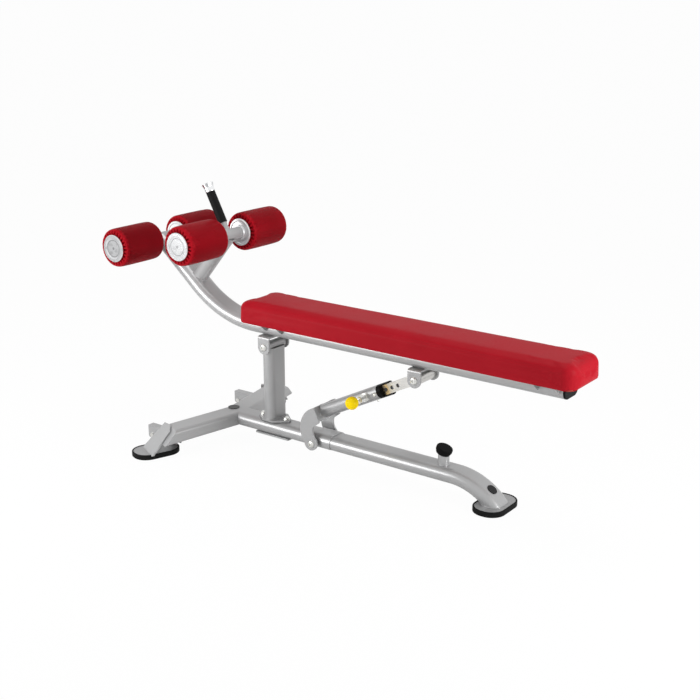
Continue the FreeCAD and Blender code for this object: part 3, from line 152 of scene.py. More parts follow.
class Finish:
    """A material on a Principled shader, and the one method that adds its nodes."""

    def __init__(self, name, **fixed):
        self.material = bpy.data.materials.new(name)
        self.material.use_nodes = True
        self.tree = self.material.node_tree
        self.shader = self.tree.nodes["Principled BSDF"]
        for socket, value in fixed.items():
            self.shader.inputs[socket.replace("_", " ")].default_value = value
        self.place = self.add("TexCoord", {}, {}, "Object")

    def add(self, kind, settings, inputs, output=0):
        """One node: its settings go in first, then the values and links of its sockets."""
        node = self.tree.nodes.new("ShaderNode" + kind)
        for setting, value in settings.items():
            setattr(node, setting, value)
        for socket, value in inputs.items():
            if isinstance(value, Value):
                self.tree.links.new(value.socket, node.inputs[socket])
            else:
                node.inputs[socket].default_value = value
        return Value(self, node.outputs[output])

    def axis(self, letter, source=None):
        """One coordinate of the place on the object, in metres."""
        return self.add("SeparateXYZ", {}, {0: source or self.place}, letter)

    def noise(self, scale, detail=2.0, stretch=(1, 1, 1), rough=0.5):
        """Soft noise about a half, with scale cells to the metre."""
        place = self.add("VectorMath", {"operation": "MULTIPLY"}, {0: self.place, 1: stretch})
        return self.add("TexNoise", {}, {"Vector": place, "Scale": scale, "Detail": detail,
                                         "Roughness": rough})

    def cells(self, scale):
        """Distance to the border of small cells, with scale cells to the metre."""
        return self.add("TexVoronoi", {"feature": "DISTANCE_TO_EDGE"},
                        {"Vector": self.place, "Scale": scale}, "Distance")

    def mix(self, factor, first, second):
        """A colour between two colours."""
        both = [c if isinstance(c, Value) else (*c, 1.0) for c in (first, second)]
        return self.add("Mix", {"data_type": "RGBA"}, {0: factor, 6: both[0], 7: both[1]}, 2)

    def use(self, **sockets):
        """Feed the shader, such as Base_Color or Roughness."""
        for socket, value in sockets.items():
            self.tree.links.new(value.socket, self.shader.inputs[socket.replace("_", " ")])

    def bump(self, height, depth, strength=1.0, under=None):
        """A height of 0 to 1 read as a relief that is depth metres deep."""
        inputs = {"Height": height, "Distance": depth, "Strength": strength}
        if under:
            inputs["Normal"] = under
        normal = self.add("Bump", {}, inputs)
        self.use(Normal=normal)
        return normal


# %% [markdown]
# ## Silver frame paint
# The tubes are powder coated in a satin silver. Up close such a paint is not one grey: metal
# flakes sparkle at about half a millimetre, the coat is a touch thicker in places, and it dries
# with a faint orange peel. Noise at three scales gives the three, and a thin clear coat over a
# partly metallic base gives the soft bright line along every rounded tube.


# %% Frame paint
def paint(name, colour, metallic, rough):
    """Satin metal paint with flakes, clouds and orange peel."""
    finish = Finish(name, Metallic=metallic, Specular_IOR_Level=0.3, Coat_Weight=0.06,
                    Coat_Roughness=0.25)
    flakes = finish.noise(1900, 1.0)
    clouds = finish.noise(7, 3.0)
    peel = finish.noise(340, 2.0)
    tone = (flakes - 0.5) * 0.5 + (clouds - 0.5) * 0.35 + 0.5
    darker = [c * 0.86 for c in colour]
    lighter = [min(1.0, c * 1.12) for c in colour]
    finish.use(Base_Color=finish.mix(tone, darker, lighter),
               Roughness=(flakes - 0.5) * 0.12 + (clouds - 0.5) * 0.06 + rough)
    finish.bump(peel, 0.12 * MM, 0.35)
    return finish.material


finishes = {
    "frame_paint": paint("frame_paint", (0.40, 0.402, 0.405), 0.35, 0.33),
    # foot_steel is the frame's grey paint made darker: painted shade for the foot plates low
    # under the tubes.
    "foot_steel": paint("foot_steel", (0.33, 0.332, 0.335), 0.4, 0.38),
}
print("paint:", *finishes)

# %% [markdown]
# ## Plated and turned metal
# Bolts are zinc plated, the grip's end is chromed, and the roller discs are turned from
# aluminium. All three are bare metal, so what tells them apart is the relief and the
# roughness. The turning marks are rings about each roller bar: a noise that only reads the
# distance from the bar's axis makes them, without any texture laid out by hand. The outer caps
# also have a painted shade in their groove, a rubbed patch and a centre mark. The inner
# discs share the finish but not these, so a mask keeps them to the places far from the
# bench's middle plane.


# %% Metals
def metal(name, colour, rough, grain, depth):
    """Bare metal with slow clouds and a fine grain."""
    finish = Finish(name, Metallic=1.0)
    cloud = finish.noise(40, 3.0)
    fine = finish.noise(grain, 2.0)
    finish.use(Base_Color=finish.mix(cloud, [c * 0.93 for c in colour], colour),
               Roughness=(cloud - 0.5) * 0.14 + (fine - 0.5) * 0.1 + rough)
    finish.bump(fine, depth, 0.3)
    return finish


def radius_from(finish, *axes):
    """Distance from the nearest of several bars that lie along Y, each given by its x and z."""
    nearest = None
    for x, z in axes:
        across = finish.axis("X") - x
        up = finish.axis("Z") - z
        reach = (across * across + up * up) ** 0.5
        nearest = nearest.least(reach) if nearest else reach
    return nearest


def bar_axis(node):
    """The x and z of a bar that lies along Y."""
    low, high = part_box(node)
    middle = (low + high) / 2
    return middle.x, middle.z


GROOVE_OPENS = (28 * MM, 29.5 * MM)
GROOVE_CLOSES = (30 * MM, 31.5 * MM)
FACE_ENDS = (29 * MM, 30 * MM)
RUBBED_FROM = (7 * MM, 12 * MM)
CENTRE_MARK = (4 * MM, 6 * MM)
CAPS_BEYOND = 0.2
bars = [bar_axis("roller_bar_front"), bar_axis("roller_bar_rear")]
turned = Finish("disc_aluminium", Metallic=1.0)
from_bar = radius_from(turned, *bars)
rings = turned.add("CombineXYZ", {}, {0: from_bar})
marks = turned.add("TexNoise", {}, {"Vector": rings, "Scale": 1500.0, "Detail": 3.0})
# The groove round the cap's face is painted dark as its shade.
groove_shade = from_bar.ramp(*GROOVE_OPENS) * (1 - from_bar.ramp(*GROOVE_CLOSES))
inside = 1 - from_bar.ramp(*FACE_ENDS)
rubbed = turned.noise(55, 1.0).ramp(0.48, 0.66) * from_bar.ramp(*RUBBED_FROM) * inside
centre_mark = 1 - from_bar.ramp(*CENTRE_MARK)
from_middle = turned.axis("Y")
outer_cap = from_middle * from_middle > CAPS_BEYOND * CAPS_BEYOND
dark = (groove_shade * 0.75).most(rubbed * 0.22).most(centre_mark * 0.5) * outer_cap
polish = turned.mix(marks, (0.64, 0.645, 0.66), (0.82, 0.825, 0.83))
turned.use(Base_Color=turned.mix(dark, polish, (0.12, 0.12, 0.125)),
           Roughness=marks * 0.10 + 0.37 - outer_cap * 0.20)
turned.bump(marks, 0.02 * MM, 0.25)
finishes["disc_aluminium"] = turned.material
finishes["zinc"] = metal("zinc", (0.74, 0.74, 0.71), 0.28, 900, 0.04 * MM).material
finishes["polished_steel"] = metal("polished_steel", (0.88, 0.89, 0.90), 0.10, 1200,
                                   0.01 * MM).material
print("roller bars at", [[round(v, 3) for v in bar] for bar in bars])

# %% [markdown]
# ## Sliding bar
# The flat bar that slides in the strut is plated bright, with a straw tint where it comes out
# of the guide, and the walls of its lock holes and a thin rim round each are painted black as
# their shade.
# Both are places along the bar, so the finish first measures them: the distance from the lock
# pin along the strut and square to it. A Wrap node then repeats one hole at every pitch, and
# the repeats stop half a pitch past the last hole.

# %% Straw-tinted bar
slide = next(j for j in frame["joints"] if j["name"] == "strut_extend")
PITCHES = 5
PITCH = -slide["range_m"][0] / PITCHES
HOLE_EDGE = (7.1 * MM, 6.7 * MM)
TINT_END = (98 * MM, 86 * MM)
strut_way = Vector(slide["axis"])
pin_low, pin_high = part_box("lock_pin")
pin_at = (pin_low + pin_high) / 2
straw = metal("straw_bar", (0.58, 0.58, 0.57), 0.30, 900, 0.04 * MM)
from_x = straw.axis("X") - pin_at.x
from_z = straw.axis("Z") - pin_at.z
forth = from_x * strut_way.x + from_z * strut_way.z
square = from_z * strut_way.x - from_x * strut_way.z
hole_run = forth.math("WRAP", forth, PITCH / 2, -PITCH / 2)
from_hole = (hole_run * hole_run + square * square) ** 0.5
# The lock holes' walls and a thin rim round each are painted black as their shade.
hole_shade = from_hole.ramp(*HOLE_EDGE) * (forth < PITCH * (PITCHES + 0.5))
tint = forth.ramp(*TINT_END)
scuff = straw.noise(60, 3.0)
plain_bar = straw.mix(tint * 0.75 + scuff * 0.1, (0.60, 0.60, 0.59), (0.56, 0.42, 0.22))
straw.use(Base_Color=straw.mix(hole_shade, plain_bar, (0.004, 0.004, 0.004)),
          Metallic=1 - hole_shade)
finishes["straw_bar"] = straw.material
print("lock holes every", round(PITCH * 1000, 2), "mm")

# %% [markdown]
# ## Rubber and moulded plastic
# Moulded pieces copy the skin of their mould: a fine grain on rubber, a smoother satin on
# plastic, and gloss on the knob and the round badges. One function makes them all from a table
# of colour, roughness, grains to the metre, their depth in millimetres and the clear coat. The
# hand grip is different, because its knurl follows the slanted stem, so its finish comes next.


# %% Rubber and plastic
MOULDED = (
    ("shoe_rubber", (0.009, 0.009, 0.009), 0.50, 700, 0.15, 0.0),
    ("bumper_rubber", (0.004, 0.004, 0.004), 0.50, 700, 0.12, 0.0),
    ("wheel_plastic", (0.014, 0.014, 0.015), 0.38, 900, 0.06, 0.03),
    ("black_plastic", (0.004, 0.004, 0.004), 0.34, 900, 0.06, 0.05),
    ("emblem_black", (0.006, 0.006, 0.007), 0.20, 300, 0.02, 0.4),
    # bush_nylon is black nylon; its black also stands in as painted shade for the dark gap
    # between the yoke plates and the beam.
    ("bush_nylon", (0.012, 0.012, 0.013), 0.45, 600, 0.05, 0.0),
    ("knob_yellow", (0.96, 0.66, 0.001), 0.25, 260, 0.03, 0.12),
)


def moulded(name, colour, rough, grain, depth, coat):
    """Rubber or plastic with the grain of its mould."""
    finish = Finish(name, Specular_IOR_Level=0.03, Coat_Weight=coat, Coat_Roughness=0.08)
    cloud = finish.noise(25, 3.0)
    fine = finish.noise(grain, 3.0)
    lighter = [min(1.0, c * 1.12 + 0.004) for c in colour]
    finish.use(Base_Color=finish.mix(cloud, colour, lighter),
               Roughness=(cloud - 0.5) * 0.12 + (fine - 0.5) * 0.08 + rough)
    finish.bump(fine, depth, 0.4)
    return finish.material


for name, colour, rough, grain, depth, coat in MOULDED:
    finishes[name] = moulded(name, colour, rough, grain, depth * MM, coat)
print("moulded finishes:", len(MOULDED))

# %% [markdown]
# ## Knurled hand grip
# The grip's rubber has a fine diamond knurl. Two sets of helical lines cross on it, and each
# set is a sine of the turn about the stem plus or minus the distance along it. The stem leans
# back in the XZ plane, so the place is first turned into the stem's own axes by a Mapping node.

# %% Grip rubber
GRIP_LEAN = math.radians(28)
KNURL_ROUND = 24
KNURL_ALONG = 1500
grip_low, grip_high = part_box("grip_sleeve")
grip_middle = (grip_low + grip_high) / 2
knurl = Finish("grip_rubber", Specular_IOR_Level=0.06)
shifted = knurl.add("VectorMath", {"operation": "SUBTRACT"},
                    {0: knurl.place, 1: grip_middle})
stem_place = knurl.add("Mapping", {}, {"Vector": shifted, "Rotation": (0, GRIP_LEAN, 0)})
aside = knurl.axis("Y", stem_place)
around = aside.math("ARCTAN2", aside, knurl.axis("X", stem_place))
along = knurl.axis("Z", stem_place)
left_hand = (around * KNURL_ROUND + along * KNURL_ALONG).sine()
right_hand = (around * KNURL_ROUND - along * KNURL_ALONG).sine()
diamond = left_hand * 0.25 + right_hand * 0.25 + 0.5
# The knurl's valleys get the darker black, a painted shade in the valleys.
knurl.use(Base_Color=knurl.mix(diamond, (0.004, 0.004, 0.004), (0.014, 0.014, 0.015)),
          Roughness=diamond * 0.12 + 0.42)
knurl.bump(diamond, 0.5 * MM, 0.7)
finishes["grip_rubber"] = knurl.material
print("grip centre", [round(v, 3) for v in grip_middle])

# %% [markdown]
# ## Red vinyl
# Gym vinyl is a smooth leather cloth: a deep red with a pebble grain of about two millimetres,
# a little shine, and slow clouds of fresher and more worn colour. The grain is the distance to
# the border of small cells, which makes rounded pebbles with narrow valleys, and the deeper
# colour is painted into the valleys as their shade.


# %% Vinyl
def vinyl(name, colour, deep, shine):
    """Leather cloth with a pebble grain and a slow ripple."""
    finish = Finish(name, Specular_IOR_Level=shine)
    pebbles = finish.cells(520).ramp(0.0, 0.28)
    worn = finish.noise(9, 4.0)
    fine = finish.noise(2200, 2.0)
    # The worn clouds vary the red at random; the valleys between pebbles take the deep red as
    # painted shade.
    wear_and_valley_shade = (worn - 0.5) * 0.8 + pebbles * 0.25 + 0.35
    finish.use(Base_Color=finish.mix(wear_and_valley_shade, deep, colour),
               Roughness=(worn - 0.5) * 0.12 - pebbles * 0.05 + 0.44)
    ripple = finish.bump(finish.noise(28, 2.0), 0.9 * MM, 0.25)
    finish.bump(pebbles * 0.8 + fine * 0.2, 0.10 * MM, 0.45, ripple)
    return finish.material


finishes["red_vinyl"] = vinyl("red_vinyl", (0.43, 0.012, 0.022), (0.34, 0.008, 0.015), 0.03)
finishes["red_foam"] = vinyl("roller_vinyl", (0.46, 0.008, 0.018), (0.26, 0.002, 0.006), 0.04)
print("vinyl: two reds")

# %% [markdown]
# ## Plywood board
# The cushion is built on plywood, which shows only from below. Its face has long grain, so
# the noise is stretched along the board, and its edge shows the plies as bands of height.

# %% Plywood
LONG_GRAIN = (0.05, 1, 1)
PLY_WAVES = 2600
wood = Finish("board_wood", Roughness=0.62)
grain = wood.noise(160, 4.0, LONG_GRAIN, 0.6)
plies = (wood.axis("Z") * PLY_WAVES).sine() * 0.5 + 0.5
wood.use(Base_Color=wood.mix(grain * 0.6 + plies * 0.4, (0.24, 0.145, 0.075),
                             (0.50, 0.36, 0.21)))
wood.bump(grain, 0.2 * MM, 0.4)
finishes["board_wood"] = wood.material
print("plies about", round(2000 * math.pi / PLY_WAVES, 1), "mm apart")

# %% Give every carried-over piece its finish
for name, node in nodes.items():
    known = node.material_slots[0].material.name.split(".")[0]
    node.material_slots[0].material = finishes["straw_bar" if name == "strut_bar" else known]
print("finishes on the packed nodes:", len(finishes))

# %% [markdown]
# ## Modelling by hand, in code
# Blender's operators act on whatever is selected, so each step below first lets go of
# everything and then picks the faces or edges it means by their place or their normal. A
# finished piece has its place put into its mesh and its object left at the origin, like the
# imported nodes, so that patterns and joints work on it in the same way.


# %% Picking and applying
def let_go():
    """Leave edit mode and select nothing."""
    if bpy.context.object and bpy.context.object.mode != "OBJECT":
        bpy.ops.object.mode_set(mode="OBJECT")
    bpy.ops.object.select_all(action="DESELECT")


def hold(piece):
    """Select one piece and make it the active one."""
    let_go()
    piece.select_set(True)
    bpy.context.view_layer.objects.active = piece


def settle(piece, name):
    """Name a piece and put its place, turn and size into its mesh."""
    hold(piece)
    piece.name = name
    piece.data.name = name
    bpy.ops.object.transform_apply(location=True, rotation=True, scale=True)
    return piece


def pick(piece, kind, test):
    """Edit a piece with just those elements selected that pass a test."""
    hold(piece)
    bpy.ops.object.mode_set(mode="EDIT")
    bpy.ops.mesh.select_mode(type=kind)
    bpy.ops.mesh.select_all(action="DESELECT")
    mesh = bmesh.from_edit_mesh(piece.data)
    elements = {"VERT": mesh.verts, "EDGE": mesh.edges, "FACE": mesh.faces}[kind]
    for element in elements:
        if test(element):
            element.select_set(True)
    bmesh.update_edit_mesh(piece.data)


def rise(edge):
    """Height between the two ends of an edge."""
    return abs(edge.verts[0].co.z - edge.verts[1].co.z)


def aim(piece, axis, spot):
    """Turn a piece's own Z along an axis and put its centre at a spot."""
    piece.rotation_euler = UP.rotation_difference(Vector(axis)).to_euler()
    piece.location = spot


def apply(piece, kind, **settings):
    """Add a modifier and apply it."""
    hold(piece)
    modifier = piece.modifiers.new(kind.title(), kind)
    for setting, value in settings.items():
        setattr(modifier, setting, value)
    bpy.ops.object.modifier_apply(modifier=modifier.name)


def finish_piece(piece, body, finish, smooth=40):
    """Smooth a piece, give it its finish and slot, and let it ride on its body."""
    hold(piece)
    bpy.ops.object.shade_smooth_by_angle(angle=math.radians(smooth))
    piece.data.materials.clear()
    piece.data.materials.append(finishes[finish])
    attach(piece, body)
    print(piece.name, "faces:", len(piece.data.polygons))


def smoothstep(value, start, end):
    """0 at the start, 1 at the end and smooth between them, for plain numbers."""
    share = min(1.0, max(0.0, (value - start) / (end - start)))
    return share * share * (3 - 2 * share)


# %% [markdown]
# ## Pad cushion
# The long pad is foam on a plywood board, pulled over with vinyl that is stapled underneath.
# A bevelled block would look like plastic. The vinyl is under tension, so the foam swells a
# little between the edges that hold it. Here a rounded block is inflated for a moment by the
# cloth solver, with its underside pinned to the board, and the swelling is limited to what
# firm foam allows.

# %% Rounded block
pad_low, pad_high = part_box("pad_cushion")
SWELL = Vector((4.5, 4.0, 0.0)) * MM
CROWN = Vector((0, 0, 4.0)) * MM
CORNER, UPPER_EDGE, LOWER_EDGE = 42 * MM, 25 * MM, 3 * MM
let_go()
bpy.ops.mesh.primitive_cube_add(size=1)
cushion = bpy.context.object
block_low = pad_low + SWELL
block_high = pad_high - SWELL - CROWN
cushion.location = (block_low + block_high) / 2
cushion.scale = block_high - block_low
settle(cushion, "cushion")
pick(cushion, "EDGE", lambda e: rise(e) > 10 * MM)
bpy.ops.mesh.bevel(offset=CORNER, segments=10, affect="EDGES")
pick(cushion, "EDGE", lambda e: all(v.co.z > block_high.z - 1e-5 for v in e.verts))
bpy.ops.mesh.bevel(offset=UPPER_EDGE, segments=8, affect="EDGES")
pick(cushion, "EDGE", lambda e: all(v.co.z < block_low.z + 1e-5 for v in e.verts))
bpy.ops.mesh.bevel(offset=LOWER_EDGE, segments=2, affect="EDGES")
print("block", [round(v, 3) for v in block_high - block_low])

# %% Pocket for the board
RIM = 3.8 * MM
WALL = 0.6 * MM
HEADROOM = 1 * MM
VOXEL = 5 * MM
board_low, board_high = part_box("pad_board")
pick(cushion, "FACE", lambda f: f.normal.z < -0.99)
bpy.ops.mesh.inset(thickness=RIM)
bpy.ops.mesh.inset(thickness=WALL)
bpy.ops.transform.translate(value=(0, 0, board_high.z - board_low.z + HEADROOM))
let_go()
apply(cushion, "REMESH", mode="VOXEL", voxel_size=VOXEL)
print("remeshed to", len(cushion.data.polygons), "faces")


# %% Inflate the vinyl
PRESSURE = 4.0
SWELL_LIMIT = 4.5 * MM
FRAMES = 20
INSIDE_BOARD = 4 * MM


def held_by_board(co):
    """The lowest rim of the underside, and the pocket that lies over the board."""
    in_pocket = (co.z < board_high.z + 3 * MM and abs(co.y) < board_high.y - INSIDE_BOARD
                 and board_low.x + INSIDE_BOARD < co.x < board_high.x - INSIDE_BOARD)
    return co.z < block_low.z + 2 * MM or in_pocket


def inflate(piece, pinned, pressure, limit):
    """Cloth under pressure for some frames; no point moves further than the limit."""
    rest = [v.co.copy() for v in piece.data.vertices]
    group = piece.vertex_groups.new(name="held")
    group.add([i for i, co in enumerate(rest) if pinned(co)], 1.0, "REPLACE")
    hold(piece)
    cloth = piece.modifiers.new("Cloth", "CLOTH")
    cloth.settings.use_pressure = True
    cloth.settings.uniform_pressure_force = pressure
    cloth.settings.effector_weights.gravity = 0
    cloth.settings.vertex_group_mass = "held"
    cloth.point_cache.frame_end = FRAMES
    for step in range(1, FRAMES + 1):
        bpy.context.scene.frame_set(step)
    bpy.ops.object.modifier_apply(modifier=cloth.name)
    bpy.context.scene.frame_set(1)
    moves = []
    for vertex, start in zip(piece.data.vertices, rest):
        move = vertex.co - start
        length = move.length
        moves.append(length)
        if length > 1e-9:
            vertex.co = start + move * (limit * math.tanh(length / limit) / length)
    piece.vertex_groups.clear()
    return max(moves)


furthest = inflate(cushion, held_by_board, PRESSURE, SWELL_LIMIT)
print("the solver moved points by up to", round(furthest * 1000, 1), "mm before the limit")
apply(cushion, "SUBSURF", levels=1, render_levels=1)

# %% [markdown]
# The foam block is cut square and its upper edge is eased, so under the tight vinyl the edge
# of the cut shows as one long shallow crease down each side. The corners gather into small
# puckers towards the staples. Both are far narrower than what a solver would find, so they are
# pressed in afterwards by moving points along the surface's own direction.

# %% Creases and puckers
CREASE_Z = pad_high.z - 17 * MM
CREASE_WIDTH = 4.5 * MM
CREASE_DEPTH, PUCKER_DEPTH, LUMP_DEPTH = 1.3 * MM, 0.45 * MM, 0.5 * MM
CREASE_WANDER = 1.6 * MM
TURN = 38 * MM
ends = (pad_low.x, pad_high.x)
corner_x = [ends[0] + TURN, ends[1] - TURN]
corner_y = pad_high.y - TURN
mesh = cushion.data
normals = [v.normal.copy() for v in mesh.vertices]
for vertex, normal in zip(mesh.vertices, normals):
    co = vertex.co
    sideways = smoothstep(math.hypot(normal.x, normal.y), 0.6, 0.95)
    line = CREASE_Z + CREASE_WANDER * math.sin(co.x * 5.1 + co.y * 3)
    away = (co.z - line) / CREASE_WIDTH
    run = smoothstep(co.x, ends[0] + 0.02, ends[0] + 0.22)
    run *= smoothstep(-co.x, -ends[1] + 0.01, -ends[1] + 0.09)
    depth = CREASE_DEPTH * math.exp(-away * away) * sideways * run
    turn_x = min(max(co.x, corner_x[0]), corner_x[1])
    turn_y = min(max(co.y, -corner_y), corner_y)
    around = math.atan2(co.y - turn_y, co.x - turn_x)
    at_corner = abs(math.sin(2 * around)) if (co.x != turn_x and co.y != turn_y) else 0.0
    low_down = 1 - smoothstep(co.z, pad_low.z, pad_low.z + 40 * MM)
    depth += PUCKER_DEPTH * at_corner * low_down * (0.5 + 0.5 * math.sin(around * 22))
    depth += LUMP_DEPTH * noise.noise(co * 9.0) * smoothstep(co.z, pad_low.z, pad_low.z + 0.02)
    vertex.co = co - normal * depth
finish_piece(cushion, "seat_frame", "red_vinyl", 180)
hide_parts("pad_cushion")

# %% [markdown]
# ## Stapled hem
# Under the board the vinyl's edge is folded over and stapled about every four centimetres. It
# could be a texture, but from below the fold has a real thickness and a wavy edge. It starts
# as one plane that is cut into a frame, its inner edge is pushed about by a slow noise except
# at the two cross plates, which hold it down, and a Solidify modifier gives it the thickness of
# the cloth.

# %% Hem
HEM_THICKNESS = 1.2 * MM
HEM_WIDTH = 13 * MM
HEM_SET_IN = 18 * MM
HEM_CORNER = 30 * MM
INNER_EDGE = 15 * MM
WAVE = 3 * MM
PLATES_AT = (0.04, 1.108)
NEAR_PLATE = 0.06
let_go()
bpy.ops.mesh.primitive_plane_add(size=1)
hem = bpy.context.object
hem.location = ((ends[0] + ends[1]) / 2, 0, pad_low.z - 0.1 * MM)
hem.scale = (ends[1] - ends[0] - HEM_SET_IN, 2 * pad_high.y - HEM_SET_IN, 1)
settle(hem, "vinyl_hem")
pick(hem, "VERT", lambda v: True)
bpy.ops.mesh.bevel(offset=HEM_CORNER, segments=8, affect="VERTICES")
pick(hem, "FACE", lambda f: True)
bpy.ops.mesh.inset(thickness=HEM_WIDTH)
bpy.ops.mesh.delete(type="FACE")
pick(hem, "EDGE", lambda e: e.calc_length() > 0.1)
bpy.ops.mesh.subdivide(number_cuts=90)
let_go()
for vertex in hem.data.vertices:
    co = vertex.co
    inner = (abs(co.y) < pad_high.y - INNER_EDGE
             and ends[0] + INNER_EDGE < co.x < ends[1] - INNER_EDGE)
    if inner and not any(abs(co.x - x) < NEAR_PLATE for x in PLATES_AT):
        co.y -= math.copysign(1, co.y) * WAVE * (0.5 + noise.noise(co * 22))
apply(hem, "SOLIDIFY", thickness=HEM_THICKNESS, offset=-1)
finish_piece(hem, "seat_frame", "red_vinyl")

# %% [markdown]
# ## Ankle rollers
# Each roller is a foam tube in a sewn vinyl sleeve. The sleeve is longer than the foam, and a
# drawstring pulls its ends in behind the discs, so the cloth gathers into a ring of small
# pleats. They could be a bump on a plain cylinder, but the pleats cast shadows and break the
# outline round the disc. The cylinder gets eight points to each pleat, its ends are bevelled
# and inset ring by ring, and the gathering then moves the points in and out.

# %% Plain sleeve
PLEATS = 26
CLEAR = 0.4 * MM
ROLL_EDGE = 12 * MM
END_RINGS = (55, 52.5, 50, 47, 42)
foam_low, foam_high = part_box("roller_foam_front_right")
hub_low, hub_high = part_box("roller_hub_front_right")
roller_middle = (foam_low + foam_high) / 2
roller_radius = (foam_high.z - foam_low.z) / 2
roller_length = foam_high.y - foam_low.y
bore = (hub_high.z - hub_low.z) / 2 + CLEAR
let_go()
bpy.ops.mesh.primitive_cylinder_add(vertices=PLEATS * 8, radius=roller_radius - CLEAR,
                                    depth=roller_length, location=roller_middle,
                                    rotation=(math.pi / 2, 0, 0))
sleeve = settle(bpy.context.object, "roller_cover_front_right")


def reach(co):
    """Distance from the roller's axis."""
    return math.hypot(co.x - roller_middle.x, co.z - roller_middle.z)


def end_gap(co):
    """Distance from the nearer end of the roller."""
    return min(co.y - foam_low.y, foam_high.y - co.y)


pick(sleeve, "EDGE", lambda e: all(end_gap(v.co) < 1e-5 for v in e.verts))
bpy.ops.mesh.bevel(offset=ROLL_EDGE, segments=6, affect="EDGES")
ring = roller_radius - CLEAR - ROLL_EDGE
for radius in END_RINGS:
    pick(sleeve, "FACE", lambda f: len(f.verts) > 8)
    bpy.ops.mesh.inset(thickness=ring - radius * MM, use_even_offset=False)
    ring = radius * MM
pick(sleeve, "FACE", lambda f: len(f.verts) > 8)
bpy.ops.mesh.inset(thickness=ring - bore, use_even_offset=False)
pick(sleeve, "FACE", lambda f: len(f.verts) > 8)
bpy.ops.mesh.bridge_edge_loops()
pick(sleeve, "EDGE", lambda e: e.calc_length() > roller_length * 0.6)
bpy.ops.mesh.subdivide(number_cuts=11)
let_go()
print("sleeve faces:", len(sleeve.data.polygons), "bore", round(bore * 1000, 1), "mm")

# %% Gather the ends
PLEAT_DEPTH, BULGE = 7.4 * MM, 0.8 * MM
SLACK, PULL, HUG = 0.9 * MM, 1.1 * MM, 0.7 * MM
draw = random.Random(26)
depths = [draw.uniform(0.75, 1.2) for _ in range(PLEATS)]
shifts = [draw.uniform(-0.22, 0.22) for _ in range(PLEATS)]
for vertex in sleeve.data.vertices:
    co = vertex.co
    radius = reach(co)
    gap = end_gap(co)
    if radius < bore + 1 * MM:
        continue
    around = math.atan2(co.z - roller_middle.z, co.x - roller_middle.x) / (2 * math.pi)
    which = (around % 1.0) * PLEATS
    nearest = int(which) % PLEATS
    phase = which - int(which) - 0.5 + shifts[nearest] * (0.5 - abs(which - int(which) - 0.5))
    narrow = 0.46 - 0.30 * smoothstep(radius, 48 * MM, 66 * MM)
    valley = max(0.0, 1 - (0.5 - abs(phase)) / narrow) ** 1.3 * depths[nearest]
    inner = smoothstep(radius, 30 * MM, 46 * MM)
    outer = 1 - smoothstep(radius, 57 * MM, 69 * MM)
    at_end = 1 - smoothstep(gap, 4 * MM, 16 * MM)
    inward = PLEAT_DEPTH * valley * inner * outer * at_end
    bulge = BULGE * (1 - valley) * inner * outer * at_end
    side = 1 if co.y > roller_middle.y else -1
    co.y -= side * (inward - bulge * smoothstep(radius, 50 * MM, 56 * MM))
    slack = SLACK * noise.noise(Vector((co.x * 16, co.y * 9, co.z * 16)))
    pull = PULL * valley * smoothstep(radius, 58 * MM, 67 * MM) * at_end
    hug = HUG * (1 - smoothstep(gap, 10 * MM, 45 * MM))
    scale = 1 - (pull + hug + abs(slack)) / radius if radius > 60 * MM else 1.0
    co.x = roller_middle.x + (co.x - roller_middle.x) * scale
    co.z = roller_middle.z + (co.z - roller_middle.z) * scale
apply(sleeve, "SUBSURF", levels=1, render_levels=1)
print("gathered into", PLEATS, "pleats at each end")

# %% [markdown]
# The four rollers are the same, so the finished sleeve is copied to the other three places.
# Each copy is turned about its own bar first, so that no two show the same pleats side by side.

# %% Four rollers
rollers = {"front_right": sleeve}
for turn, place in ((50, "front_left"), (131, "rear_right"), (217, "rear_left")):
    hold(sleeve)
    bpy.ops.object.duplicate(linked=False)
    copy = bpy.context.object
    low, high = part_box("roller_foam_" + place)
    bpy.ops.object.mode_set(mode="EDIT")
    bpy.ops.mesh.select_all(action="SELECT")
    bpy.ops.transform.rotate(value=math.radians(turn), orient_axis="Y",
                             center_override=tuple(roller_middle))
    bpy.ops.transform.translate(value=(low + high) / 2 - roller_middle)
    rollers[place] = settle(copy, "roller_cover_" + place)
for place, roller in rollers.items():
    finish_piece(roller, "roller_" + place, "red_foam", 180)
    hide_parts("roller_foam_" + place)

# %% [markdown]
# ## Weld beads
# Where two tubes meet, a real frame has a weld: a rounded bead with the ripples that the torch
# leaves every few millimetres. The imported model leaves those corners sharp. A bead follows the
# line where the pieces touch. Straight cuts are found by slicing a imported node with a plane,
# and curved ones by sending rays from a ring round one tube to the surface of the other. The
# line becomes a curve whose thickness swells and narrows, and the curve becomes a mesh.


# %% Finding the lines
def section(name, point, normal):
    """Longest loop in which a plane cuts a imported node."""
    mesh = bmesh.new()
    mesh.from_mesh(nodes[name].data)
    bmesh.ops.remove_doubles(mesh, verts=mesh.verts, dist=1e-6)
    cut = bmesh.ops.bisect_plane(mesh, geom=mesh.verts[:] + mesh.edges[:] + mesh.faces[:],
                                 dist=1e-6, plane_co=point, plane_no=normal)["geom_cut"]
    links = {}
    for edge in cut:
        if isinstance(edge, bmesh.types.BMEdge):
            a, b = edge.verts
            links.setdefault(a, []).append(b)
            links.setdefault(b, []).append(a)
    loops = []
    while links:
        here = next(iter(links))
        loop = []
        while here in links:
            loop.append(here.co.copy())
            following = [v for v in links.pop(here) if v in links]
            here = following[0] if following else None
        loops.append(loop)
    mesh.free()
    return max(loops, key=lambda loop: sum((a - b).length for a, b in zip(loop, loop[1:])))


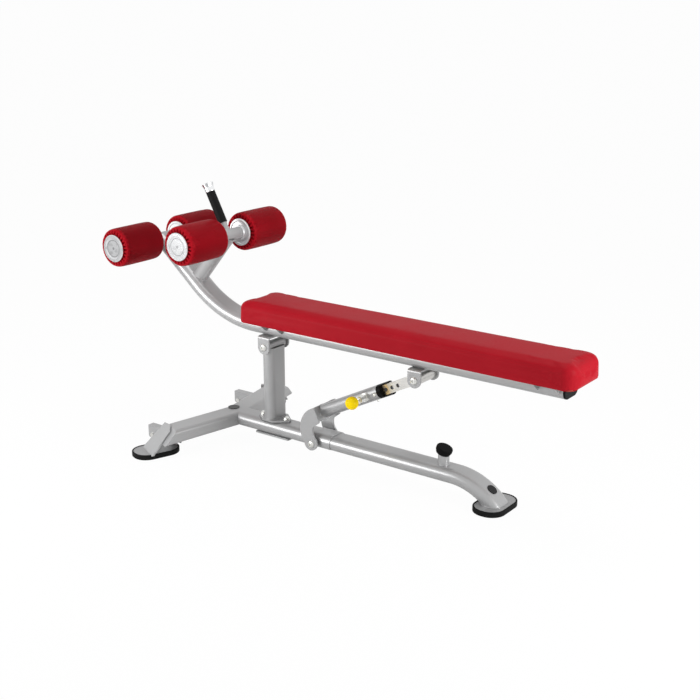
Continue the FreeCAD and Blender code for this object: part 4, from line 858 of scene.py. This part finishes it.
def landing(outline, direction, name):
    """Where rays from a ring of points first meet a node; rays that miss are left out."""
    data = nodes[name].data
    points = [v.co.copy() for v in data.vertices]
    tree = BVHTree.FromPolygons(points, [list(p.vertices) for p in data.polygons])
    hits = [tree.ray_cast(point, direction)[0] for point in outline]
    return [hit for hit in hits if hit]


def circle(centre, axis, radius, count):
    """Points round a circle whose axis is given."""
    axis = Vector(axis).normalized()
    side = axis.orthogonal().normalized()
    other = axis.cross(side)
    turns = [2 * math.pi * i / count for i in range(count)]
    return [Vector(centre) + radius * (side * math.cos(a) + other * math.sin(a))
            for a in turns]


# %% Laying a bead
STEP = 1.2 * MM
STEPS_TO_RIPPLE = 3.6
RIPPLE, WANDER = 0.13, 0.15


def bead(name, line, body, size=1.5 * MM, finish="frame_paint"):
    """A rippled bead along a closed line of points."""
    path = line + line[:1]
    spots = [path[0]]
    left = STEP
    for a, b in zip(path, path[1:]):
        length = (b - a).length
        while length > left:
            a = a + (b - a) * (left / length)
            length = (b - a).length
            spots.append(a)
            left = STEP
        left -= length
    curve = bpy.data.curves.new(name, "CURVE")
    curve.dimensions = "3D"
    curve.bevel_depth = size
    curve.bevel_resolution = 1
    spline = curve.splines.new("POLY")
    spline.points.add(len(spots) - 1)
    for i, (point, spot) in enumerate(zip(spline.points, spots)):
        point.co = (*spot, 1)
        ripple = RIPPLE * math.sin(i * 2 * math.pi / STEPS_TO_RIPPLE)
        point.radius = 1 + ripple + noise.noise(spot * 60) * WANDER
    spline.use_cyclic_u = True
    piece = bpy.data.objects.new(name, curve)
    bpy.context.collection.objects.link(piece)
    hold(piece)
    bpy.ops.object.convert(target="MESH")
    piece = settle(bpy.context.object, name)
    bpy.ops.object.mode_set(mode="EDIT")
    bpy.ops.mesh.select_all(action="SELECT")
    bpy.ops.mesh.normals_make_consistent(inside=False)
    let_go()
    finish_piece(piece, body, finish, 180)


# %% Beads on the base
def just_above(name):
    """A point a little above the lowest of a node."""
    return Vector((0, 0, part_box(name)[0].z + 0.3 * MM))


bead("weld_post", section("post", just_above("post"), UP), "base")
bead("weld_bumper_post", section("bumper_post", just_above("bumper_post"), UP), "base")
bead("weld_rear_foot", section("base_beam", just_above("base_beam"), UP), "base")
for side in ("left", "right"):
    plate_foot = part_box("foot_plate_" + side)[1] + UP * 0.3 * MM
    bead("weld_end_plate_" + side, section("leg_end_plate_" + side, plate_foot, UP),
         "base", 1.3 * MM)


# %% Beads on the seat frame
SUPPORT_RING, STEM_RING = 30.3 * MM, 13 * MM


def tube_axis(name):
    """Centre and direction of a straight tube that lies in the bench's middle plane."""
    wall = max((f for f in nodes[name].data.polygons if 0.2 < abs(f.normal.y) < 0.9),
               key=lambda f: f.area).normal
    way = Vector((wall.z, 0, -wall.x)).normalized()
    way *= math.copysign(1, way.z)
    square = Vector((way.z, 0, -way.x))
    across = [v.co.dot(square) for v in nodes[name].data.vertices]
    along = [v.co.dot(way) for v in nodes[name].data.vertices]
    return (square * (max(across) + min(across)) + way * (max(along) + min(along))) / 2, way


support_at, support_way = tube_axis("support_tube")
support_ring = circle(support_at, support_way, SUPPORT_RING, 96)
bead("weld_support_foot", landing(support_ring, -support_way, "seat_tube"), "seat_frame")
bead("weld_support_top", landing(support_ring, support_way, "roller_bar_rear"),
     "seat_frame", 1.4 * MM)
stem_at, stem_way = tube_axis("grip_stem")
stem_ring = circle(stem_at, stem_way, STEM_RING, 60)
bead("weld_grip_stem", landing(stem_ring, -stem_way, "roller_bar_rear"),
     "seat_frame", 1.4 * MM)
print("support tube axis", [round(v, 3) for v in support_way],
      "grip stem axis", [round(v, 3) for v in stem_way])


# %% Beads at the roller bars and the strut
BAR_RING, STRUT_RING = 21.4 * MM, 24.3 * MM
BESIDE_TUBE = 0.06


def ring_on(name, centre, axis, radius, body, onto):
    """Bead where a round tube's outline, sent along its axis, lands on another node."""
    bead(name, landing(circle(centre, axis, radius, 96), axis, onto), body)


front_x, front_z = bars[0]
for side, sign in (("left", 1), ("right", -1)):
    ring_on("weld_front_bar_" + side, (front_x, sign * BESIDE_TUBE, front_z),
            Vector((0, -sign, 0)), BAR_RING, "seat_frame", "seat_tube")
ring_on("weld_strut_foot", tube_axis("strut_tube")[0], -strut_way, STRUT_RING,
        "strut", "strut_yoke")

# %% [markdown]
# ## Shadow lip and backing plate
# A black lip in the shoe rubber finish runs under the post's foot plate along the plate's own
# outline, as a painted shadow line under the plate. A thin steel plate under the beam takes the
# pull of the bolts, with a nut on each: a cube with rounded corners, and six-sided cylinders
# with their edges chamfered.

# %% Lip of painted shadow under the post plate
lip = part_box("post_plate")[0] + UP * 0.5 * MM
# This black lip is a painted shadow line where the plate sits on the beam.
bead("post_plate_shadow_lip", section("post_plate", lip, UP), "base", 0.8 * MM, "shoe_rubber")

# %% Backing plate
BEAM_UNDER = 54 * MM
PLATE_FROM, PLATE_TO, PLATE_HALF = -62 * MM, 92 * MM, 40 * MM
PLATE_THICKNESS, PLATE_CORNER, PLATE_EDGE = 5 * MM, 6 * MM, 0.5 * MM
BITE = 0.3 * MM
plate_low = Vector((PLATE_FROM, -PLATE_HALF, BEAM_UNDER - PLATE_THICKNESS))
plate_high = Vector((PLATE_TO, PLATE_HALF, BEAM_UNDER + BITE))
let_go()
bpy.ops.mesh.primitive_cube_add(size=1)
plate = bpy.context.object
plate.scale = plate_high - plate_low
plate.location = (plate_high + plate_low) / 2
settle(plate, "backing_plate")
pick(plate, "EDGE", lambda e: rise(e) > 0.5 * MM)
bpy.ops.mesh.bevel(offset=PLATE_CORNER, segments=5)
pick(plate, "EDGE", lambda e: rise(e) < 0.01 * MM)
bpy.ops.mesh.bevel(offset=PLATE_EDGE, segments=2)
let_go()
finish_piece(plate, "base", "frame_paint", 35)


# %% Hexagon nuts
def hexagon(spot, axis, across, height):
    """A hexagon nut with chamfered edges."""
    let_go()
    bpy.ops.mesh.primitive_cylinder_add(vertices=6, radius=across / 2 / math.cos(math.pi / 6),
                                        depth=height)
    nut = bpy.context.object
    pick(nut, "EDGE", lambda e: rise(e) < 0.01 * MM)
    bpy.ops.mesh.bevel(offset=0.8 * MM, segments=3)
    let_go()
    aim(nut, axis, spot)
    return nut


def join(copies, name):
    """Several objects made one piece."""
    let_go()
    for copy in copies:
        copy.select_set(True)
    bpy.context.view_layer.objects.active = copies[0]
    bpy.ops.object.join()
    return settle(bpy.context.object, name)


NUT_ACROSS, NUT_HEIGHT = 17 * MM, 7 * MM
NUT_DROP = 8.4 * MM
BOLT_HEAD = 12 * MM
bolt_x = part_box("post_bolts")[1].x - BOLT_HEAD
nuts = [hexagon((x, 0, BEAM_UNDER - NUT_DROP), UP, NUT_ACROSS, NUT_HEIGHT)
        for x in (-bolt_x, bolt_x)]
finish_piece(join(nuts, "post_nuts"), "base", "zinc", 35)

# %% [markdown]
# ## Screws on the strut
# A small screw holds the guide inside the strut tube from the side, and a longer one pokes out
# underneath. They are dome heads: spheres cut to a low cap, with a round socket sunk in.


# %% Dome-headed screws
def dome(name, spot, axis, radius, height):
    """A zinc-plated dome head on the strut."""
    let_go()
    bpy.ops.mesh.primitive_uv_sphere_add(segments=32, ring_count=16, radius=radius)
    head = bpy.context.object
    head.scale.z = height / radius
    bpy.ops.object.transform_apply(location=False, rotation=False, scale=True)
    pick(head, "VERT", lambda v: v.co.z < -0.3 * height)
    bpy.ops.mesh.delete(type="VERT")
    pick(head, "FACE", lambda f: all(v.co.z > 0.8 * height for v in f.verts))
    bpy.ops.mesh.inset(thickness=0.3 * MM)
    bpy.ops.transform.translate(value=(0, 0, -0.5 * height))
    pick(head, "EDGE", lambda e: e.is_boundary)
    bpy.ops.mesh.edge_face_add()
    let_go()
    aim(head, axis, spot)
    finish_piece(settle(head, name), "strut", "zinc", 35)


PIN_FROM_FOOT = 278 * MM
GUIDE_SCREW_AT = (315 * MM, -4 * MM, -23.4 * MM)
STOP_SCREW_AT = (304 * MM, -26 * MM, 0)
strut_up = Vector((-strut_way.z, 0, strut_way.x))
strut_foot = pin_at - strut_way * PIN_FROM_FOOT
strut_foot.y = 0


def on_strut(along, above, aside):
    """A place measured along the strut from its foot, square to it, and along Y."""
    return strut_foot + strut_way * along + strut_up * above + Vector((0, aside, 0))


dome("guide_screw", on_strut(*GUIDE_SCREW_AT), (0, -1, 0), 5 * MM, 2.6 * MM)
dome("stop_screw", on_strut(*STOP_SCREW_AT), -strut_up, 4 * MM, 6 * MM)

# %% [markdown]
# ## Staples
# The vinyl is held to the board by wire staples along its hem, about four centimetres apart.
# One staple is a thin rounded bar; the others are copies along the hem's middle line. A seeded
# draw turns each a little, so the row looks stapled by hand and is the same on every run.

# %% One staple
STAPLE = Vector((10, 1.2, 0.9)) * MM
let_go()
bpy.ops.mesh.primitive_cube_add(size=1)
staple = bpy.context.object
staple.scale = STAPLE
bpy.ops.object.transform_apply(location=False, rotation=False, scale=True)
pick(staple, "EDGE", lambda e: True)
bpy.ops.mesh.bevel(offset=0.3 * MM, segments=2)
let_go()
print("one staple has", len(staple.data.polygons), "faces")

# %% Stapling the hem
STAPLE_STEP = 40 * MM
STAPLE_INSET = 6 * MM
FIRST_STAPLE = 30 * MM
STAPLE_DROP = 1.3 * MM
ASKEW = 0.12
rows = []
for side in (-1, 1):
    y = side * (board_high.y - STAPLE_INSET)
    count = int((board_high.x - board_low.x - 2 * FIRST_STAPLE) / STAPLE_STEP)
    for i in range(count + 1):
        rows.append((board_low.x + FIRST_STAPLE + i * STAPLE_STEP, y, 0))
for end in (board_low.x + STAPLE_INSET, board_high.x - STAPLE_INSET):
    for i in range(-1, 2):
        rows.append((end, i * STAPLE_STEP, math.pi / 2))
hand = random.Random(68)
staples = []
for x, y, turn in rows:
    copy = staple.copy()
    copy.data = staple.data.copy()
    bpy.context.collection.objects.link(copy)
    copy.rotation_euler.z = turn + hand.uniform(-ASKEW, ASKEW)
    copy.location = (x, y, board_low.z - STAPLE_DROP)
    staples.append(copy)
bpy.data.objects.remove(staple)
finish_piece(join(staples, "staples"), "seat_frame", "zinc", 35)
print(len(rows), "staples")

# %% [markdown]
# ## Studio
# The bench stands on a plain pale floor in an even white studio. A large soft lamp at
# the near left gives the light faces and the bright line on the tubes, another lights the
# pad's free end, and a weak one overhead keeps the top from going dull. The floor and the
# world read as white to the camera. In reflections the world is white and the floor partly
# so, and the light that falls on the bench stays plain.


# %% Lamps
def lamp(name, place, target, size, power):
    """A round soft lamp that points at a target."""
    bpy.ops.object.light_add(type="AREA", location=place)
    light = bpy.context.object
    light.name = name
    light.data.shape = "DISK"
    light.data.size = size
    light.data.energy = power
    toward = Vector(target) - light.location
    light.rotation_euler = toward.to_track_quat("-Z", "Y").to_euler()


centre = (cad_box[0] + cad_box[1]) / 2
lamp("key", (-1.3, -2.3, 1.0), (0.1, 0, 0.4), 1.4, 52)
lamp("fill", (3.4, 0.1, 1.2), (0.3, 0, 0.5), 1.2, 66)
lamp("top", (0.2, 0.3, 3.2), centre, 1.6, 30)

# %% Floor
FLOOR_SIZE = 300
SEEN_WHITE, MIRRORED_WHITE = 0.97, 0.3
bpy.ops.mesh.primitive_plane_add(size=FLOOR_SIZE, location=(centre.x, centre.y, 0))
floor = bpy.context.object
floor.name = "studio_floor"
ground = Finish("studio_floor", Roughness=0.8)
mottle = ground.noise(2, 2.0)
ground.use(Base_Color=ground.mix(mottle, (0.86, 0.86, 0.86), (0.88, 0.88, 0.88)))
glow = ground.add("Emission", {}, {"Color": (1, 1, 1, 1), "Strength": 1.0})
seen = ground.add("LightPath", {}, {}, "Is Camera Ray")
mirrored = ground.add("LightPath", {}, {}, "Is Glossy Ray")
matt = Value(ground, ground.shader.outputs[0])
share = seen * SEEN_WHITE + mirrored * MIRRORED_WHITE
blend = ground.add("MixShader", {}, {0: share, 1: matt, 2: glow})
ground.tree.links.new(blend.socket, ground.tree.nodes["Material Output"].inputs["Surface"])
floor.data.materials.append(ground.material)
print("floor at", round(floor.location.z, 3))

# %% World
LIGHT_LEVEL = 0.30
world = bpy.data.worlds.new("studio")
world.use_nodes = True
bpy.context.scene.world = world
tree = world.node_tree
plain = tree.nodes["Background"]
plain.inputs["Color"].default_value = (1, 1, 1, 1)
plain.inputs["Strength"].default_value = LIGHT_LEVEL
white = tree.nodes.new("ShaderNodeBackground")
white.inputs["Color"].default_value = (1, 1, 1, 1)
white.inputs["Strength"].default_value = 1.0
path = tree.nodes.new("ShaderNodeLightPath")
shown = path.outputs["Is Camera Ray"]
for kind in ("Is Glossy Ray", "Is Transmission Ray"):
    either = tree.nodes.new("ShaderNodeMath")
    either.operation = "MAXIMUM"
    tree.links.new(shown, either.inputs[0])
    tree.links.new(path.outputs[kind], either.inputs[1])
    shown = either.outputs[0]
choose = tree.nodes.new("ShaderNodeMixShader")
tree.links.new(shown, choose.inputs[0])
tree.links.new(plain.outputs[0], choose.inputs[1])
tree.links.new(white.outputs[0], choose.inputs[2])
tree.links.new(choose.outputs[0], tree.nodes["World Output"].inputs["Surface"])
